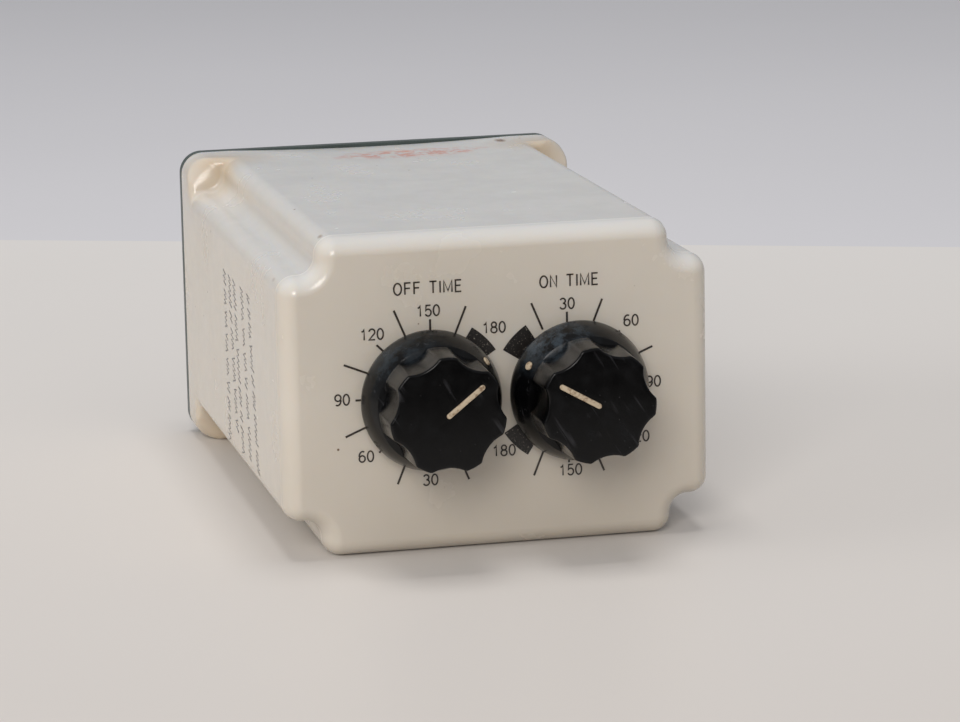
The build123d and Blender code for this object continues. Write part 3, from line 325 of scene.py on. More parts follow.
# ============================================================ material helpers
class Shader:
    """A node material with short calls for the nodes that this scene uses."""

    def __init__(self, name, color, roughness, metallic=0.0):
        self.material = bpy.data.materials.new(name)
        self.material.use_nodes = True
        self.nodes = self.material.node_tree.nodes
        self.links = self.material.node_tree.links
        self.surface = self.nodes["Principled BSDF"]
        self.set("Base Color", (*color, 1.0))
        self.set("Roughness", roughness)
        self.set("Metallic", metallic)
        self.texture = self.nodes.new("ShaderNodeTexCoord")
        self.place = self.texture.outputs["Object"]

    def set(self, socket, value):
        self.surface.inputs[socket].default_value = value

    def feed(self, socket, output):
        self.links.new(output, self.surface.inputs[socket])

    def stretched(self, scale, rotation=(0, 0, 0)):
        """The object's coordinates, turned by degrees and then scaled along each axis."""
        node = self.nodes.new("ShaderNodeMapping")
        node.vector_type = "TEXTURE"
        node.inputs["Scale"].default_value = [1 / share for share in scale]
        node.inputs["Rotation"].default_value = [math.radians(a) for a in rotation]
        self.links.new(self.place, node.inputs["Vector"])
        return node.outputs["Vector"]

    def noise(self, scale, detail=3.0, roughness=0.5, place=None):
        node = self.nodes.new("ShaderNodeTexNoise")
        node.inputs["Scale"].default_value = scale
        node.inputs["Detail"].default_value = detail
        node.inputs["Roughness"].default_value = roughness
        self.links.new(place or self.place, node.inputs["Vector"])
        return node.outputs["Fac"]

    def waves(self, scale, direction, distortion=0.0):
        """Even bands across one axis."""
        node = self.nodes.new("ShaderNodeTexWave")
        node.bands_direction = direction
        node.inputs["Scale"].default_value = scale
        node.inputs["Distortion"].default_value = distortion
        self.links.new(self.place, node.inputs["Vector"])
        return node.outputs["Fac"]

    def specks(self, scale, size, share):
        """A mask of scattered specks: cells per metre, size in cells, and share of cells used."""
        node = self.nodes.new("ShaderNodeTexVoronoi")
        node.inputs["Scale"].default_value = scale
        self.links.new(self.place, node.inputs["Vector"])
        near = self.ramp(node.outputs["Distance"], [(size * 0.6, 1.0), (size, 0.0)])
        split = self.nodes.new("ShaderNodeSeparateColor")
        self.links.new(node.outputs["Color"], split.inputs["Color"])
        chosen = self.math("LESS_THAN", split.outputs["Red"], share)
        return self.math("MULTIPLY", near, chosen)

    def patch(self, centre, radii, edge=0.4):
        """A soft-edged ellipsoid mask, 1 inside and 0 outside."""
        node = self.nodes.new("ShaderNodeMapping")
        node.vector_type = "TEXTURE"
        node.inputs["Location"].default_value = centre
        node.inputs["Scale"].default_value = radii
        self.links.new(self.place, node.inputs["Vector"])
        length = self.nodes.new("ShaderNodeVectorMath")
        length.operation = "LENGTH"
        self.links.new(node.outputs["Vector"], length.inputs[0])
        half = self.math("MULTIPLY", length.outputs["Value"], 0.5)
        return self.ramp(half, [(0.5 * (1 - edge), 1.0), (0.5 * (1 + edge), 0.0)])

    def facing(self, axis):
        """How squarely the surface faces along an axis of the object, from 0 to 1."""
        node = self.nodes.new("ShaderNodeSeparateXYZ")
        self.links.new(self.texture.outputs["Normal"], node.inputs["Vector"])
        return self.math("MAXIMUM", node.outputs[axis], 0.0)

    def ramp(self, value, stops):
        """Map a value through (position, grey or colour) stops."""
        node = self.nodes.new("ShaderNodeValToRGB")
        elements = node.color_ramp.elements
        while len(elements) < len(stops):
            elements.new(0.5)
        for element, (position, tone) in zip(elements, stops):
            element.position = position
            rgb = (tone, tone, tone) if isinstance(tone, (int, float)) else tone
            element.color = (*rgb, 1.0)
        self.links.new(value, node.inputs["Fac"])
        return node.outputs["Color"]

    def mix(self, factor, first, second):
        """Blend two colours or outputs by a factor output."""
        node = self.nodes.new("ShaderNodeMix")
        node.data_type = "RGBA"
        self.connect(factor, node.inputs["Factor"])
        self.connect(first, node.inputs[6])
        self.connect(second, node.inputs[7])
        return node.outputs[2]

    def math(self, operation, first, second=0.0):
        node = self.nodes.new("ShaderNodeMath")
        node.operation = operation
        self.connect(first, node.inputs[0])
        self.connect(second, node.inputs[1])
        return node.outputs["Value"]

    def connect(self, source, socket):
        if isinstance(source, bpy.types.NodeSocket):
            self.links.new(source, socket)
        elif isinstance(source, tuple):
            socket.default_value = (*source, 1.0)
        else:
            socket.default_value = source

    def axis(self, name):
        """One of the object's coordinates, in metres."""
        node = self.nodes.new("ShaderNodeSeparateXYZ")
        self.links.new(self.place, node.inputs["Vector"])
        return node.outputs[name]

    def bump(self, height, distance, strength=1.0):
        node = self.nodes.new("ShaderNodeBump")
        node.inputs["Strength"].default_value = strength
        node.inputs["Distance"].default_value = distance
        self.links.new(height, node.inputs["Height"])
        self.feed("Normal", node.outputs["Normal"])


def use(obj, material):
    """Give an object one material, in place of whatever it has."""
    obj.data.materials.clear()
    obj.data.materials.append(material)


# ============================================================ materials
# amber patches at the four corner bosses: partly the thick nylon's own amber, partly painted shade in the ends of
# the notches
AMBER_AND_SHADE_FROM_SIDE = 4.5 * MM
AMBER_AND_SHADE_FROM_BACK = 8.5 * MM
AMBER_AND_SHADE_RADII = (6 * MM, 5 * MM, 6 * MM)
STAMP_PLACE = (4 * MM, PANEL_Y + 74.5 * MM, HEIGHT)
STAMP_RADII = (11 * MM, 4 * MM, 3 * MM)
# painted shade: the lower front of the housing is darkened where less light falls from above
PAINTED_SHADE_PLACE = (12 * MM, PANEL_Y, 2 * MM)
PAINTED_SHADE_RADII = (32 * MM, 6 * MM, 15 * MM)
# the three largest dirt spots: place and radius
DIRT_SPOTS = (
    ((-HALF_WIDTH, PANEL_Y + 7.0 * MM, 38.5 * MM), 0.5 * MM),
    ((-HALF_WIDTH + 6.5 * MM, PANEL_Y + 5.0 * MM, HEIGHT), 0.45 * MM),
    ((20 * MM, BACK_Y - 4 * MM, HEIGHT), 0.7 * MM),
)


def nylon_material():
    """Milky moulded nylon: warm, uneven, with specks and smudges; up-facing surfaces cooler as painted light from
    above, amber at the corner bosses that is partly the thick nylon's own and partly painted shade at the notch
    ends, and painted shade on the low front.
    """
    shader = Shader("milky_nylon", (0.60, 0.55, 0.47), 0.3)
    cloud = shader.noise(28, 4.0, 0.55)
    warm = shader.ramp(cloud, [(0.25, (0.60, 0.55, 0.475)), (0.75, (0.64, 0.595, 0.525))])
    cool = shader.ramp(cloud, [(0.25, (0.60, 0.60, 0.59)), (0.75, (0.63, 0.63, 0.62))])
    # painted light: up-facing surfaces take the cooler, greyer tone, as if lit by cool light from above, and the
    # rest take the warm one
    tone = shader.mix(shader.facing("Z"), warm, cool)
    for side in (-1, 1):
        for end in (0.0, HEIGHT):
            boss = (side * (HALF_WIDTH - AMBER_AND_SHADE_FROM_SIDE), BACK_Y - AMBER_AND_SHADE_FROM_BACK, end)
            # partly the thick nylon's own amber, partly painted shade at the notch end
            amber_and_shade = shader.patch(boss, AMBER_AND_SHADE_RADII, 0.7)
            tone = shader.mix(shader.math("MULTIPLY", amber_and_shade, 0.55), tone, (0.50, 0.37, 0.22))
    blotch = shader.ramp(shader.noise(420, 3.0, 0.7), [(0.46, 0.0), (0.58, 0.75)])
    stamp = shader.patch(STAMP_PLACE, STAMP_RADII, 0.35)
    tone = shader.mix(shader.math("MULTIPLY", blotch, stamp), tone, (0.60, 0.20, 0.13))
    # painted shade on the lower front
    painted_low_shade = shader.math("MULTIPLY", shader.patch(PAINTED_SHADE_PLACE, PAINTED_SHADE_RADII, 0.8), 0.6)
    tone = shader.mix(painted_low_shade, tone, (0.46, 0.41, 0.34))
    dirt = shader.specks(260, 0.055, 0.16)
    tone = shader.mix(dirt, tone, (0.16, 0.10, 0.06))
    for place, size in DIRT_SPOTS:
        spot = shader.patch(place, (size, 2 * size, size), 0.5)
        tone = shader.mix(spot, tone, (0.20, 0.11, 0.06))
    shader.feed("Base Color", tone)
    shader.set("Subsurface Weight", 0.30)
    shader.set("Subsurface Radius", (1.0, 0.70, 0.42))
    shader.set("Subsurface Scale", 2.5 * MM)
    shader.set("IOR", 1.5)
    smear = shader.noise(90, 4.0, 0.6)
    shader.feed("Roughness", shader.ramp(smear, [(0.3, 0.15), (0.7, 0.30)]))
    shader.bump(shader.noise(110, 2.0, 0.4), 0.02 * MM, 0.3)
    return shader.material


def knob_material():
    """Black moulded plastic with a film of dust, a painted bluish reflection at the upper left of each knob, fine
    scratches and rubbed spots.
    """
    shader = Shader("knob_plastic", (0.002, 0.002, 0.002), 0.2)
    shader.set("Specular IOR Level", 0.24)
    haze = shader.noise(330, 5.0, 0.65)
    dust = shader.ramp(haze, [(0.52, 0.0), (0.85, 0.12)])
    tone = shader.mix(dust, (0.0018, 0.0018, 0.002), (0.03, 0.035, 0.042))
    cloud = shader.ramp(shader.noise(450, 4.0, 0.7), [(0.40, 0.0), (0.62, 1.0)])
    for name, axis in DIAL_AXES.items():
        x, z = PAINTED_SHEEN_SHIFT[name]
        centre = (axis.x + x, PANEL_Y - PAINTED_SHEEN_DEPTH, axis.z + z)
        # painted reflection: bluish sheen at the knob's upper left, broken up by a mottled cloud
        film = shader.patch(centre, PAINTED_SHEEN_RADII, 0.8)
        film = shader.math("MULTIPLY", film, PAINTED_SHEEN_STRENGTH[name])
        tone = shader.mix(shader.math("MULTIPLY", film, cloud), tone, (0.045, 0.060, 0.075))
    lint = shader.specks(1500, 0.10, 0.14)
    tone = shader.mix(shader.math("MULTIPLY", lint, 0.40), tone, (0.12, 0.12, 0.125))
    scuff = shader.noise(1900, 2.0, 0.5, shader.stretched((0.04, 1.0, 1.0), (0, 58, 0)))
    lines = shader.ramp(scuff, [(0.60, 0.0), (0.70, 0.45)])
    rubbed = shader.ramp(shader.noise(190, 2.0, 0.5), [(0.50, 0.0), (0.62, 1.0)])
    tone = shader.mix(shader.math("MULTIPLY", lines, rubbed), tone, (0.045, 0.045, 0.05))
    shader.feed("Base Color", tone)
    shader.feed("Roughness", shader.ramp(haze, [(0.3, 0.14), (0.7, 0.28)]))
    scratches = shader.noise(2600, 2.0, 0.5, shader.stretched((0.04, 1.0, 1.0), (0, 55, 0)))
    shader.bump(scratches, 0.006 * MM, 0.3)
    return shader.material


def cream_material():
    """Cream paint that fills the pointer grooves and skirt dots, with brown stains."""
    shader = Shader("marker_cream", (0.50, 0.42, 0.31), 0.5)
    stain = shader.noise(1500, 4.0, 0.6)
    tone = shader.ramp(stain, [(0.36, (0.22, 0.14, 0.08)), (0.50, (0.50, 0.41, 0.29))])
    shader.feed("Base Color", tone)
    shader.bump(stain, 0.03 * MM, 0.4)
    return shader.material


def ink_material(name, color, paper, breakup, low=0.50, high=0.78):
    """Printed ink, broken up so that a little of what it is printed on shows through."""
    shader = Shader(name, color, 0.4)
    grain = shader.noise(breakup, 3.0, 0.6)
    shader.feed("Base Color", shader.ramp(grain, [(low, color), (high, paper)]))
    shader.bump(grain, 0.004 * MM, 0.4)
    return shader.material


def floor_material():
    """A pale warm surface with a straight edge far behind the object, and a cooler tone past it."""
    shader = Shader("pale_floor", (0.66, 0.62, 0.59), 0.45)
    cloud = shader.noise(3.0, 3.0, 0.5)
    near = shader.ramp(cloud, [(0.3, (0.64, 0.605, 0.575)), (0.7, (0.67, 0.635, 0.605))])
    warm = shader.ramp(cloud, [(0.3, (0.80, 0.775, 0.75)), (0.7, (0.83, 0.805, 0.78))])
    cool = shader.ramp(cloud, [(0.3, (0.72, 0.715, 0.745)), (0.7, (0.75, 0.745, 0.775))])
    along_x = shader.math("MULTIPLY", shader.axis("X"), HORIZON_NORMAL[0])
    along_y = shader.math("MULTIPLY", shader.axis("Y"), HORIZON_NORMAL[1])
    depth = shader.math("ADD", along_x, along_y)
    span = FLOOR_FADE[1] - FLOOR_FADE[0]
    fade = shader.math("DIVIDE", shader.math("SUBTRACT", depth, FLOOR_FADE[0]), span)
    far = shader.math("GREATER_THAN", depth, HORIZON_START)
    ground = shader.mix(shader.ramp(fade, [(0.0, 0.0), (1.0, 1.0)]), near, warm)
    shader.feed("Base Color", shader.mix(far, ground, cool))
    return shader.material


def plate_material():
    """Black-green glass laminate: a fine weave under a satin skin."""
    shader = Shader("plate_laminate", (0.012, 0.020, 0.017), 0.42)
    weave = shader.math("MULTIPLY", shader.waves(620, "X", 0.6), shader.waves(620, "Z", 0.6))
    mottle = shader.noise(160, 4.0, 0.6)
    tone = shader.ramp(mottle, [(0.3, (0.030, 0.044, 0.042)), (0.7, (0.055, 0.075, 0.070))])
    threads = shader.math("MULTIPLY", weave, 0.5)
    shader.feed("Base Color", shader.mix(threads, tone, (0.075, 0.10, 0.09)))
    shader.feed("Roughness", shader.ramp(mottle, [(0.3, 0.34), (0.7, 0.52)]))
    shader.bump(weave, 0.02 * MM, 0.5)
    return shader.material


def phenolic_material():
    """Black phenolic moulding with faint flow streaks and a dull bloom."""
    shader = Shader("plug_phenolic", (0.016, 0.014, 0.013), 0.38)
    streak = shader.noise(260, 4.0, 0.6, shader.stretched((1.0, 0.25, 1.0), (0, 0, 20)))
    tone = shader.ramp(streak, [(0.35, (0.010, 0.009, 0.008)), (0.75, (0.034, 0.029, 0.025))])
    shader.feed("Base Color", tone)
    shader.feed("Roughness", shader.ramp(streak, [(0.3, 0.28), (0.7, 0.48)]))
    shader.bump(shader.noise(1200, 3.0, 0.5), 0.012 * MM, 0.4)
    return shader.material


def metal_material(name, color, roughness, stretch):
    """Drawn or plated metal: streaks along one direction, with dulled patches."""
    shader = Shader(name, color, roughness, 1.0)
    streak = shader.noise(1800, 3.0, 0.6, shader.stretched(stretch))
    tarnish = shader.noise(320, 4.0, 0.6)
    dull = tuple(c * 0.62 for c in color)
    shader.feed("Base Color", shader.ramp(tarnish, [(0.32, dull), (0.62, color)]))
    low = max(0.08, roughness - 0.12)
    shader.feed("Roughness", shader.ramp(tarnish, [(0.3, roughness + 0.15), (0.7, low)]))
    shader.bump(streak, 0.01 * MM, 0.35)
    return shader.material


def moulded_material(name, color, roughness, grain=600):
    """A moulded or lacquered surface with grain in its tone, gloss and relief."""
    shader = Shader(name, color, roughness)
    tone = shader.noise(grain, 4.0, 0.6)
    dark = tuple(c * 0.72 for c in color)
    light = tuple(min(1.0, c * 1.15) for c in color)
    shader.feed("Base Color", shader.ramp(tone, [(0.3, dark), (0.7, light)]))
    low = max(0.05, roughness - 0.1)
    shader.feed("Roughness", shader.ramp(tone, [(0.3, low), (0.7, min(1.0, roughness + 0.1))]))
    shader.bump(tone, 0.015 * MM, 0.4)
    return shader.material


def board_material():
    """Green solder mask over glass cloth, with paler copper runs under it."""
    shader = Shader("board_green", (0.02, 0.12, 0.05), 0.25)
    runs = shader.ramp(shader.waves(130, "X", 1.5), [(0.72, 0.0), (0.76, 1.0)])
    mottle = shader.noise(500, 4.0, 0.6)
    mask = shader.ramp(mottle, [(0.3, (0.014, 0.09, 0.04)), (0.7, (0.025, 0.13, 0.06))])
    shader.feed("Base Color", shader.mix(runs, mask, (0.06, 0.21, 0.09)))
    shader.bump(runs, 0.03 * MM, 0.6)
    return shader.material


def coil_material():
    """Enamelled copper wire wound side by side."""
    shader = Shader("coil_copper", (0.45, 0.16, 0.06), 0.32, 0.8)
    turns = shader.waves(850, "Z")
    tone = shader.ramp(turns, [(0.2, (0.16, 0.045, 0.015)), (0.7, (0.52, 0.20, 0.07))])
    shader.feed("Base Color", tone)
    shader.bump(turns, 0.05 * MM, 0.8)
    return shader.material


def clear_material():
    """Clear polycarbonate with faint moulding swirls."""
    shader = Shader("relay_clear", (0.82, 0.83, 0.80), 0.12)
    shader.set("Transmission Weight", 0.9)
    shader.set("IOR", 1.58)
    swirl = shader.noise(140, 3.0, 0.5)
    shader.feed("Roughness", shader.ramp(swirl, [(0.3, 0.08), (0.7, 0.24)]))
    shader.bump(swirl, 0.02 * MM, 0.4)
    return shader.material


def node_materials():
    """One material for each finish slot of the record."""
    along_y = (1.0, 0.06, 1.0)
    along_z = (1.0, 1.0, 0.06)
    return {
        "housing_nylon": nylon_material(),
        "knob_black": knob_material(),
        "marker_cream": cream_material(),
        "plate_laminate": plate_material(),
        "plug_phenolic": phenolic_material(),
        "board_green": board_material(),
        "coil_copper": coil_material(),
        "relay_clear": clear_material(),
        "screw_steel": metal_material("screw_steel", (0.56, 0.55, 0.50), 0.34, (1.0, 1.0, 0.3)),
        "pin_nickel": metal_material("pin_nickel", (0.66, 0.62, 0.54), 0.22, along_y),
        "spring_steel": metal_material("spring_steel", (0.50, 0.50, 0.50), 0.32, along_z),
        "shaft_aluminium": metal_material("shaft_aluminium", (0.70, 0.70, 0.71), 0.30, along_y),
        "bushing_brass": metal_material("bushing_brass", (0.68, 0.52, 0.28), 0.28, along_y),
        "nut_nickel": metal_material("nut_nickel", (0.66, 0.64, 0.60), 0.24, along_z),
        "pot_can": metal_material("pot_can", (0.60, 0.60, 0.57), 0.38, along_y),
        "contact_brass": metal_material("contact_brass", (0.66, 0.48, 0.24), 0.30, along_z),
        "header_tin": metal_material("header_tin", (0.62, 0.61, 0.58), 0.35, along_y),
        "relay_iron": metal_material("relay_iron", (0.52, 0.52, 0.50), 0.40, along_z),
        "rotor_plastic": moulded_material("rotor_plastic", (0.74, 0.72, 0.66), 0.45),
        "track_phenolic": moulded_material("track_phenolic", (0.20, 0.10, 0.045), 0.5),
        "wire_sleeve": moulded_material("wire_sleeve", (0.42, 0.04, 0.03), 0.4, 300),
        "chip_black": moulded_material("chip_black", (0.02, 0.02, 0.022), 0.55, 1500),
        "resistor_tan": moulded_material("resistor_tan", (0.50, 0.36, 0.20), 0.35, 900),
        "film_capacitor": moulded_material("film_capacitor", (0.60, 0.30, 0.04), 0.25, 250),
        "can_sleeve": moulded_material("can_sleeve", (0.02, 0.05, 0.18), 0.2, 200),
        "varistor_blue": moulded_material("varistor_blue", (0.03, 0.09, 0.30), 0.3, 500),
        "relay_header": moulded_material("relay_header", (0.08, 0.075, 0.07), 0.5, 800),
    }


# ============================================================ housing
def notched_corner(shrink):
    """A corner of the notched outline, from the side wall to the top, moved inwards by shrink.

    Points are (x, height above the middle) in the quadrant where both are positive.
    """
    outer = max(NOTCH_OUTER_RADIUS - shrink, SMALLEST_RADIUS)
    inner = NOTCH_INNER_RADIUS + shrink
    side = HALF_WIDTH - shrink
    top = MIDDLE_Z - shrink
    step = side - NOTCH_WIDTH
    ledge = top - NOTCH_HEIGHT
    points = arc((side - outer, ledge - outer), outer, 0, 90, OUTER_ARC_STEPS)
    points += arc((step + inner, ledge + inner), inner, 270, 180, INNER_ARC_STEPS)
    return points + arc((step - outer, top - outer), outer, 0, 90, OUTER_ARC_STEPS)


def full_corner(shrink):
    """The same corner without its notch, point for point, with one large rounding."""
    radius = FLANGE_RADIUS - shrink
    side = HALF_WIDTH - shrink
    top = MIDDLE_Z - shrink
    total = 2 * (OUTER_ARC_STEPS + 1) + INNER_ARC_STEPS + 1
    run = total // 4
    start = (side, top - NOTCH_HEIGHT - NOTCH_OUTER_RADIUS)
    end = (side - NOTCH_WIDTH - NOTCH_OUTER_RADIUS, top)
    rise = [start] + straight(start, (side, top - radius), run)
    fall = straight((side - radius, top), end, run) + [end]
    bend = arc((side - radius, top - radius), radius, 0, 90, total - len(rise) - len(fall) - 1)
    return rise + bend + fall


def outline(corner):
    """A closed ring of four corners that mirror one quadrant's points."""
    points = []
    for side, end, backwards in ((1, 1, False), (-1, 1, True), (-1, -1, False), (1, -1, True)):
        placed = [(side * x, MIDDLE_Z + end * z) for x, z in corner]
        if backwards:
            placed.reverse()
        if points:
            points += straight(points[-1], placed[0], SIDE_STEPS)
        points += placed
    return points + straight(points[-1], points[0], SIDE_STEPS)


def ring_at(corner, y):
    return [(x, y, z) for x, z in outline(corner)]


def sink(x, y, z):
    """How far the top wall has sunk at a point, most at the middle of its rear edge."""
    if z < HEIGHT - TOP_BAND:
        return 0.0
    across = max(0.0, 1.0 - (x / TOP_SINK_HALF) ** 2)
    along = max(0.0, 1.0 - (BACK_Y - y) / TOP_SINK_LENGTH)
    return TOP_SINK * across * along**2


def eased(share):
    """Share of a way from 0 to 1 that starts and ends gently."""
    return (share * share * (3 - 2 * share) + share) / 2


def boss_rings(steps=26):
    """Rings that lead from the notched outline up the domed fronts of the corner bosses."""
    notched = outline(notched_corner(0))
    full = outline(full_corner(0))
    front = BACK_Y - BOSS_LENGTH
    longest = max(math.dist(a, b) for a, b in zip(notched, full))
    rings = []
    for step in range(steps + 1):
        share = eased(step / steps)
        ring = []
        for start, end in zip(notched, full):
            length = math.dist(start, end)
            fullness = min(1.0, 2 * length / longest)
            foot = min(BOSS_FOOT, length / 3)
            edge = min(BOSS_EDGE, length * BOSS_EDGE_SHARE)
            travelled = share * length
            left = length - travelled
            y = front + (share - 0.5) * BOSS_SPREAD * (1 - fullness)
            if travelled < foot:
                y -= foot - math.sqrt(foot**2 - (foot - travelled) ** 2)
            if left < edge:
                y += (edge - math.sqrt(edge**2 - (edge - left) ** 2)) * BOSS_EDGE_DEPTH_SHARE
            x = start[0] + (end[0] - start[0]) * share
            z = start[1] + (end[1] - start[1]) * share
            ring.append((x, y, z))
        rings.append(ring)
    return rings


def panel_edge_rings(steps=12):
    """From the flat of the panel round its edge, to the fine ridge where the walls begin."""
    rings = []
    for step in range(steps + 1):
        angle = math.radians(90 * step / steps)
        shrink = PANEL_EDGE_INSET * (1 - math.sin(angle))
        y = PANEL_Y + PANEL_EDGE_DEPTH * (1 - math.cos(angle))
        rings.append(ring_at(notched_corner(shrink), y))
    ridge_y = PANEL_Y + PANEL_EDGE_DEPTH + RIDGE_HALF_WIDTH
    for offset, lift in ((-0.5, 0.8), (0.0, 1.0), (0.5, 0.8), (1.0, 0.0)):
        y = ridge_y + offset * RIDGE_HALF_WIDTH
        rings.append(ring_at(notched_corner(-RIDGE_HEIGHT * lift), y))
    return rings


def housing_rings():
    """Outer skin from the panel to the rear rim, then the inner skin back to the panel."""
    rings = panel_edge_rings()
    wall_start = PANEL_Y + PANEL_EDGE_DEPTH + 3 * RIDGE_HALF_WIDTH
    wall_end = BACK_Y - BOSS_LENGTH - BOSS_FOOT - BOSS_SPREAD / 2
    for step in range(SIDE_STEPS + 1):
        y = wall_start + (wall_end - wall_start) * step / SIDE_STEPS
        rings.append(ring_at(notched_corner(0), y))
    rings += boss_rings()
    for y in (BACK_Y - 2.4 * MM, BACK_Y - 1.2 * MM, BACK_Y - RIM_EDGE):
        rings.append(ring_at(full_corner(0), y))
    for degrees in (30, 60, 90):
        angle = math.radians(degrees)
        y = BACK_Y - RIM_EDGE * (1 - math.sin(angle))
        rings.append(ring_at(full_corner(RIM_EDGE * (1 - math.cos(angle))), y))
    for share in (0.0, 0.1, 0.3, 0.6, 1.0):
        y = BACK_Y + (PANEL_Y + PANEL_WALL - BACK_Y) * share
        rings.append(ring_at(notched_corner(WALL), y))
    return [[(x, y, z - sink(x, y, z)) for x, y, z in ring] for ring in rings]


def build_housing(material):
    housing = ring_object("housing_shell", housing_rings())
    rim = arc((0, 0), BUSHING_RADIUS, 0, 360, BUSHING_HOLE_POINTS)[1:]
    for axis in DIAL_AXES.values():
        hole = [
            [(axis.x + x, PANEL_Y + y, axis.z + z) for x, z in rim]
            for y in (-PANEL_WALL, 2 * PANEL_WALL)
        ]
        cut(housing, ring_object("hole", hole))
    finish_piece(housing, material, "timer")
    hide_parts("housing")
    keep_flats(housing)


# ============================================================ knobs
def soft_min(first, second, width):
    """The smaller of two values, rounded over where they meet."""
    blend = max(0.0, min(1.0, 0.5 + (second - first) / (2 * width)))
    return second + (first - second) * blend - width * blend * (1 - blend)


def grip_radius(angle, height):
    """Radius of the scalloped grip at an angle from the pointer, at a height above the panel.

    A lobe lies under the pointer, so each scallop's middle is half a pitch away from it.
    """
    share = (height - GRIP_BASE) / (KNOB_TOP - GRIP_BASE)
    lobe = LOBE_BASE_RADIUS + (LOBE_TOP_RADIUS - LOBE_BASE_RADIUS) * share
    floor = SCALLOP_FLOOR_BASE + (SCALLOP_FLOOR_TOP - SCALLOP_FLOOR_BASE) * share
    pitch = 2 * math.pi / LOBES
    off_scallop = angle % pitch - pitch / 2
    centre = floor + SCALLOP_RADIUS
    across = centre * math.sin(off_scallop)
    if abs(across) >= SCALLOP_RADIUS:
        return lobe
    hollow = centre * math.cos(off_scallop) - math.sqrt(SCALLOP_RADIUS**2 - across**2)
    return soft_min(lobe, hollow, LOBE_SOFTNESS)


def circle(radius, height):
    points = arc((0, 0), radius, 0, 360, KNOB_POINTS)[:-1]
    return [(x, y, height) for x, y in points]


def grip(height, inset=0.0):
    """One ring of the scalloped grip."""
    ring = []
    for k in range(KNOB_POINTS):
        angle = 2 * math.pi * k / KNOB_POINTS
        radius = grip_radius(angle, height) - inset
        ring.append((radius * math.cos(angle), radius * math.sin(angle), height))
    return ring


def skirt_rings(steps=14):
    """The thin rim and the domed slope up to the grip."""
    lip = 0.15 * MM
    rings = [
        circle(KNOB_HOLLOW_RADIUS, KNOB_HOLLOW_TOP),
        circle(KNOB_HOLLOW_RADIUS, SKIRT_GAP + lip),
        circle(KNOB_HOLLOW_RADIUS + lip, SKIRT_GAP),
        circle(SKIRT_RADIUS - lip, SKIRT_GAP),
        circle(SKIRT_RADIUS, SKIRT_GAP + lip),
        circle(SKIRT_RADIUS, SKIRT_EDGE - lip),
    ]
    for step in range(steps + 1):
        share = step / steps
        height = SKIRT_EDGE + (GRIP_BASE - lip - SKIRT_EDGE) * share
        bulge = SKIRT_BULGE * math.sin(math.pi * share)
        radius = SKIRT_RADIUS + (SHOULDER_RADIUS - SKIRT_RADIUS) * share + bulge
        rings.append(circle(radius, height))
    rings.append(circle(SHOULDER_RADIUS - lip / 2, GRIP_BASE - lip / 5))
    return rings


def knob_rings():
    """Rings in the knob's own frame: pointer along +X, Z up out of the panel."""
    rings = skirt_rings()
    rings.append(grip(GRIP_BASE, -GRIP_FOOT_SPREAD))
    rings.append(grip(GRIP_BASE + GRIP_FOOT_HEIGHT))
    for share in (0.12, 0.25, 0.4, 0.55, 0.7, 0.85, 1.0):
        rings.append(grip(GRIP_BASE + (KNOB_TOP - KNOB_EDGE - GRIP_BASE) * share))
    for degrees in (18, 36, 54, 72, 90):
        angle = math.radians(degrees)
        height = KNOB_TOP - KNOB_EDGE * (1 - math.sin(angle))
        rings.append(grip(height, KNOB_EDGE * (1 - math.cos(angle))))
    rim = rings[-1]
    for share in (0.96, 0.9):
        rings.append([(x * share, y * share, KNOB_TOP) for x, y, _ in rim])
    return rings


def dial_place(name):
    """Where a shape drawn on +Z with its pointer along +X goes on a dial."""
    axis = DIAL_AXES[name]
    turn = Matrix.Rotation(math.radians(-POINTER_ANGLE[name]), 4, "Y")
    upright = Matrix.Rotation(math.radians(90), 4, "X")
    return Matrix.Translation((axis.x, PANEL_Y, axis.z)) @ turn @ upright


def stadium(half_width, height):
    """The pointer's round-ended outline, grown or shrunk by its half width."""
    start = POINTER_INNER_END + POINTER_HALF_WIDTH
    end = POINTER_OUTER_END - POINTER_HALF_WIDTH
    points = arc((end, 0), half_width, -90, 90, 16) + arc((start, 0), half_width, 90, 270, 16)
    return [(x, y, height) for x, y in points]


def domed_rings(section, size, base, top, edge):
    """A low domed plug: straight sides, then a rounded shoulder.

    section(size, height) gives one ring.
    """
    rings = [section(size, base), section(size, top - edge)]
    for degrees in (30, 60, 85):
        angle = math.radians(degrees)
        inset = edge * (1 - math.cos(angle))
        rings.append(section(size - inset, top - edge * (1 - math.sin(angle))))
    return rings


def build_pointer(name, material):
    """Cream paint standing slightly proud of its groove in the knob's face."""
    base = KNOB_TOP - INLAY_DEPTH
    rings = domed_rings(stadium, POINTER_HALF_WIDTH, base, KNOB_TOP + POINTER_PROUD, POINTER_EDGE)
    pointer = ring_object(f"{name}_pointer_fill", rings)
    pointer.data.transform(dial_place(name))
    finish_piece(pointer, material, f"{name}_dial")
    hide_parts(f"{name}_pointer")


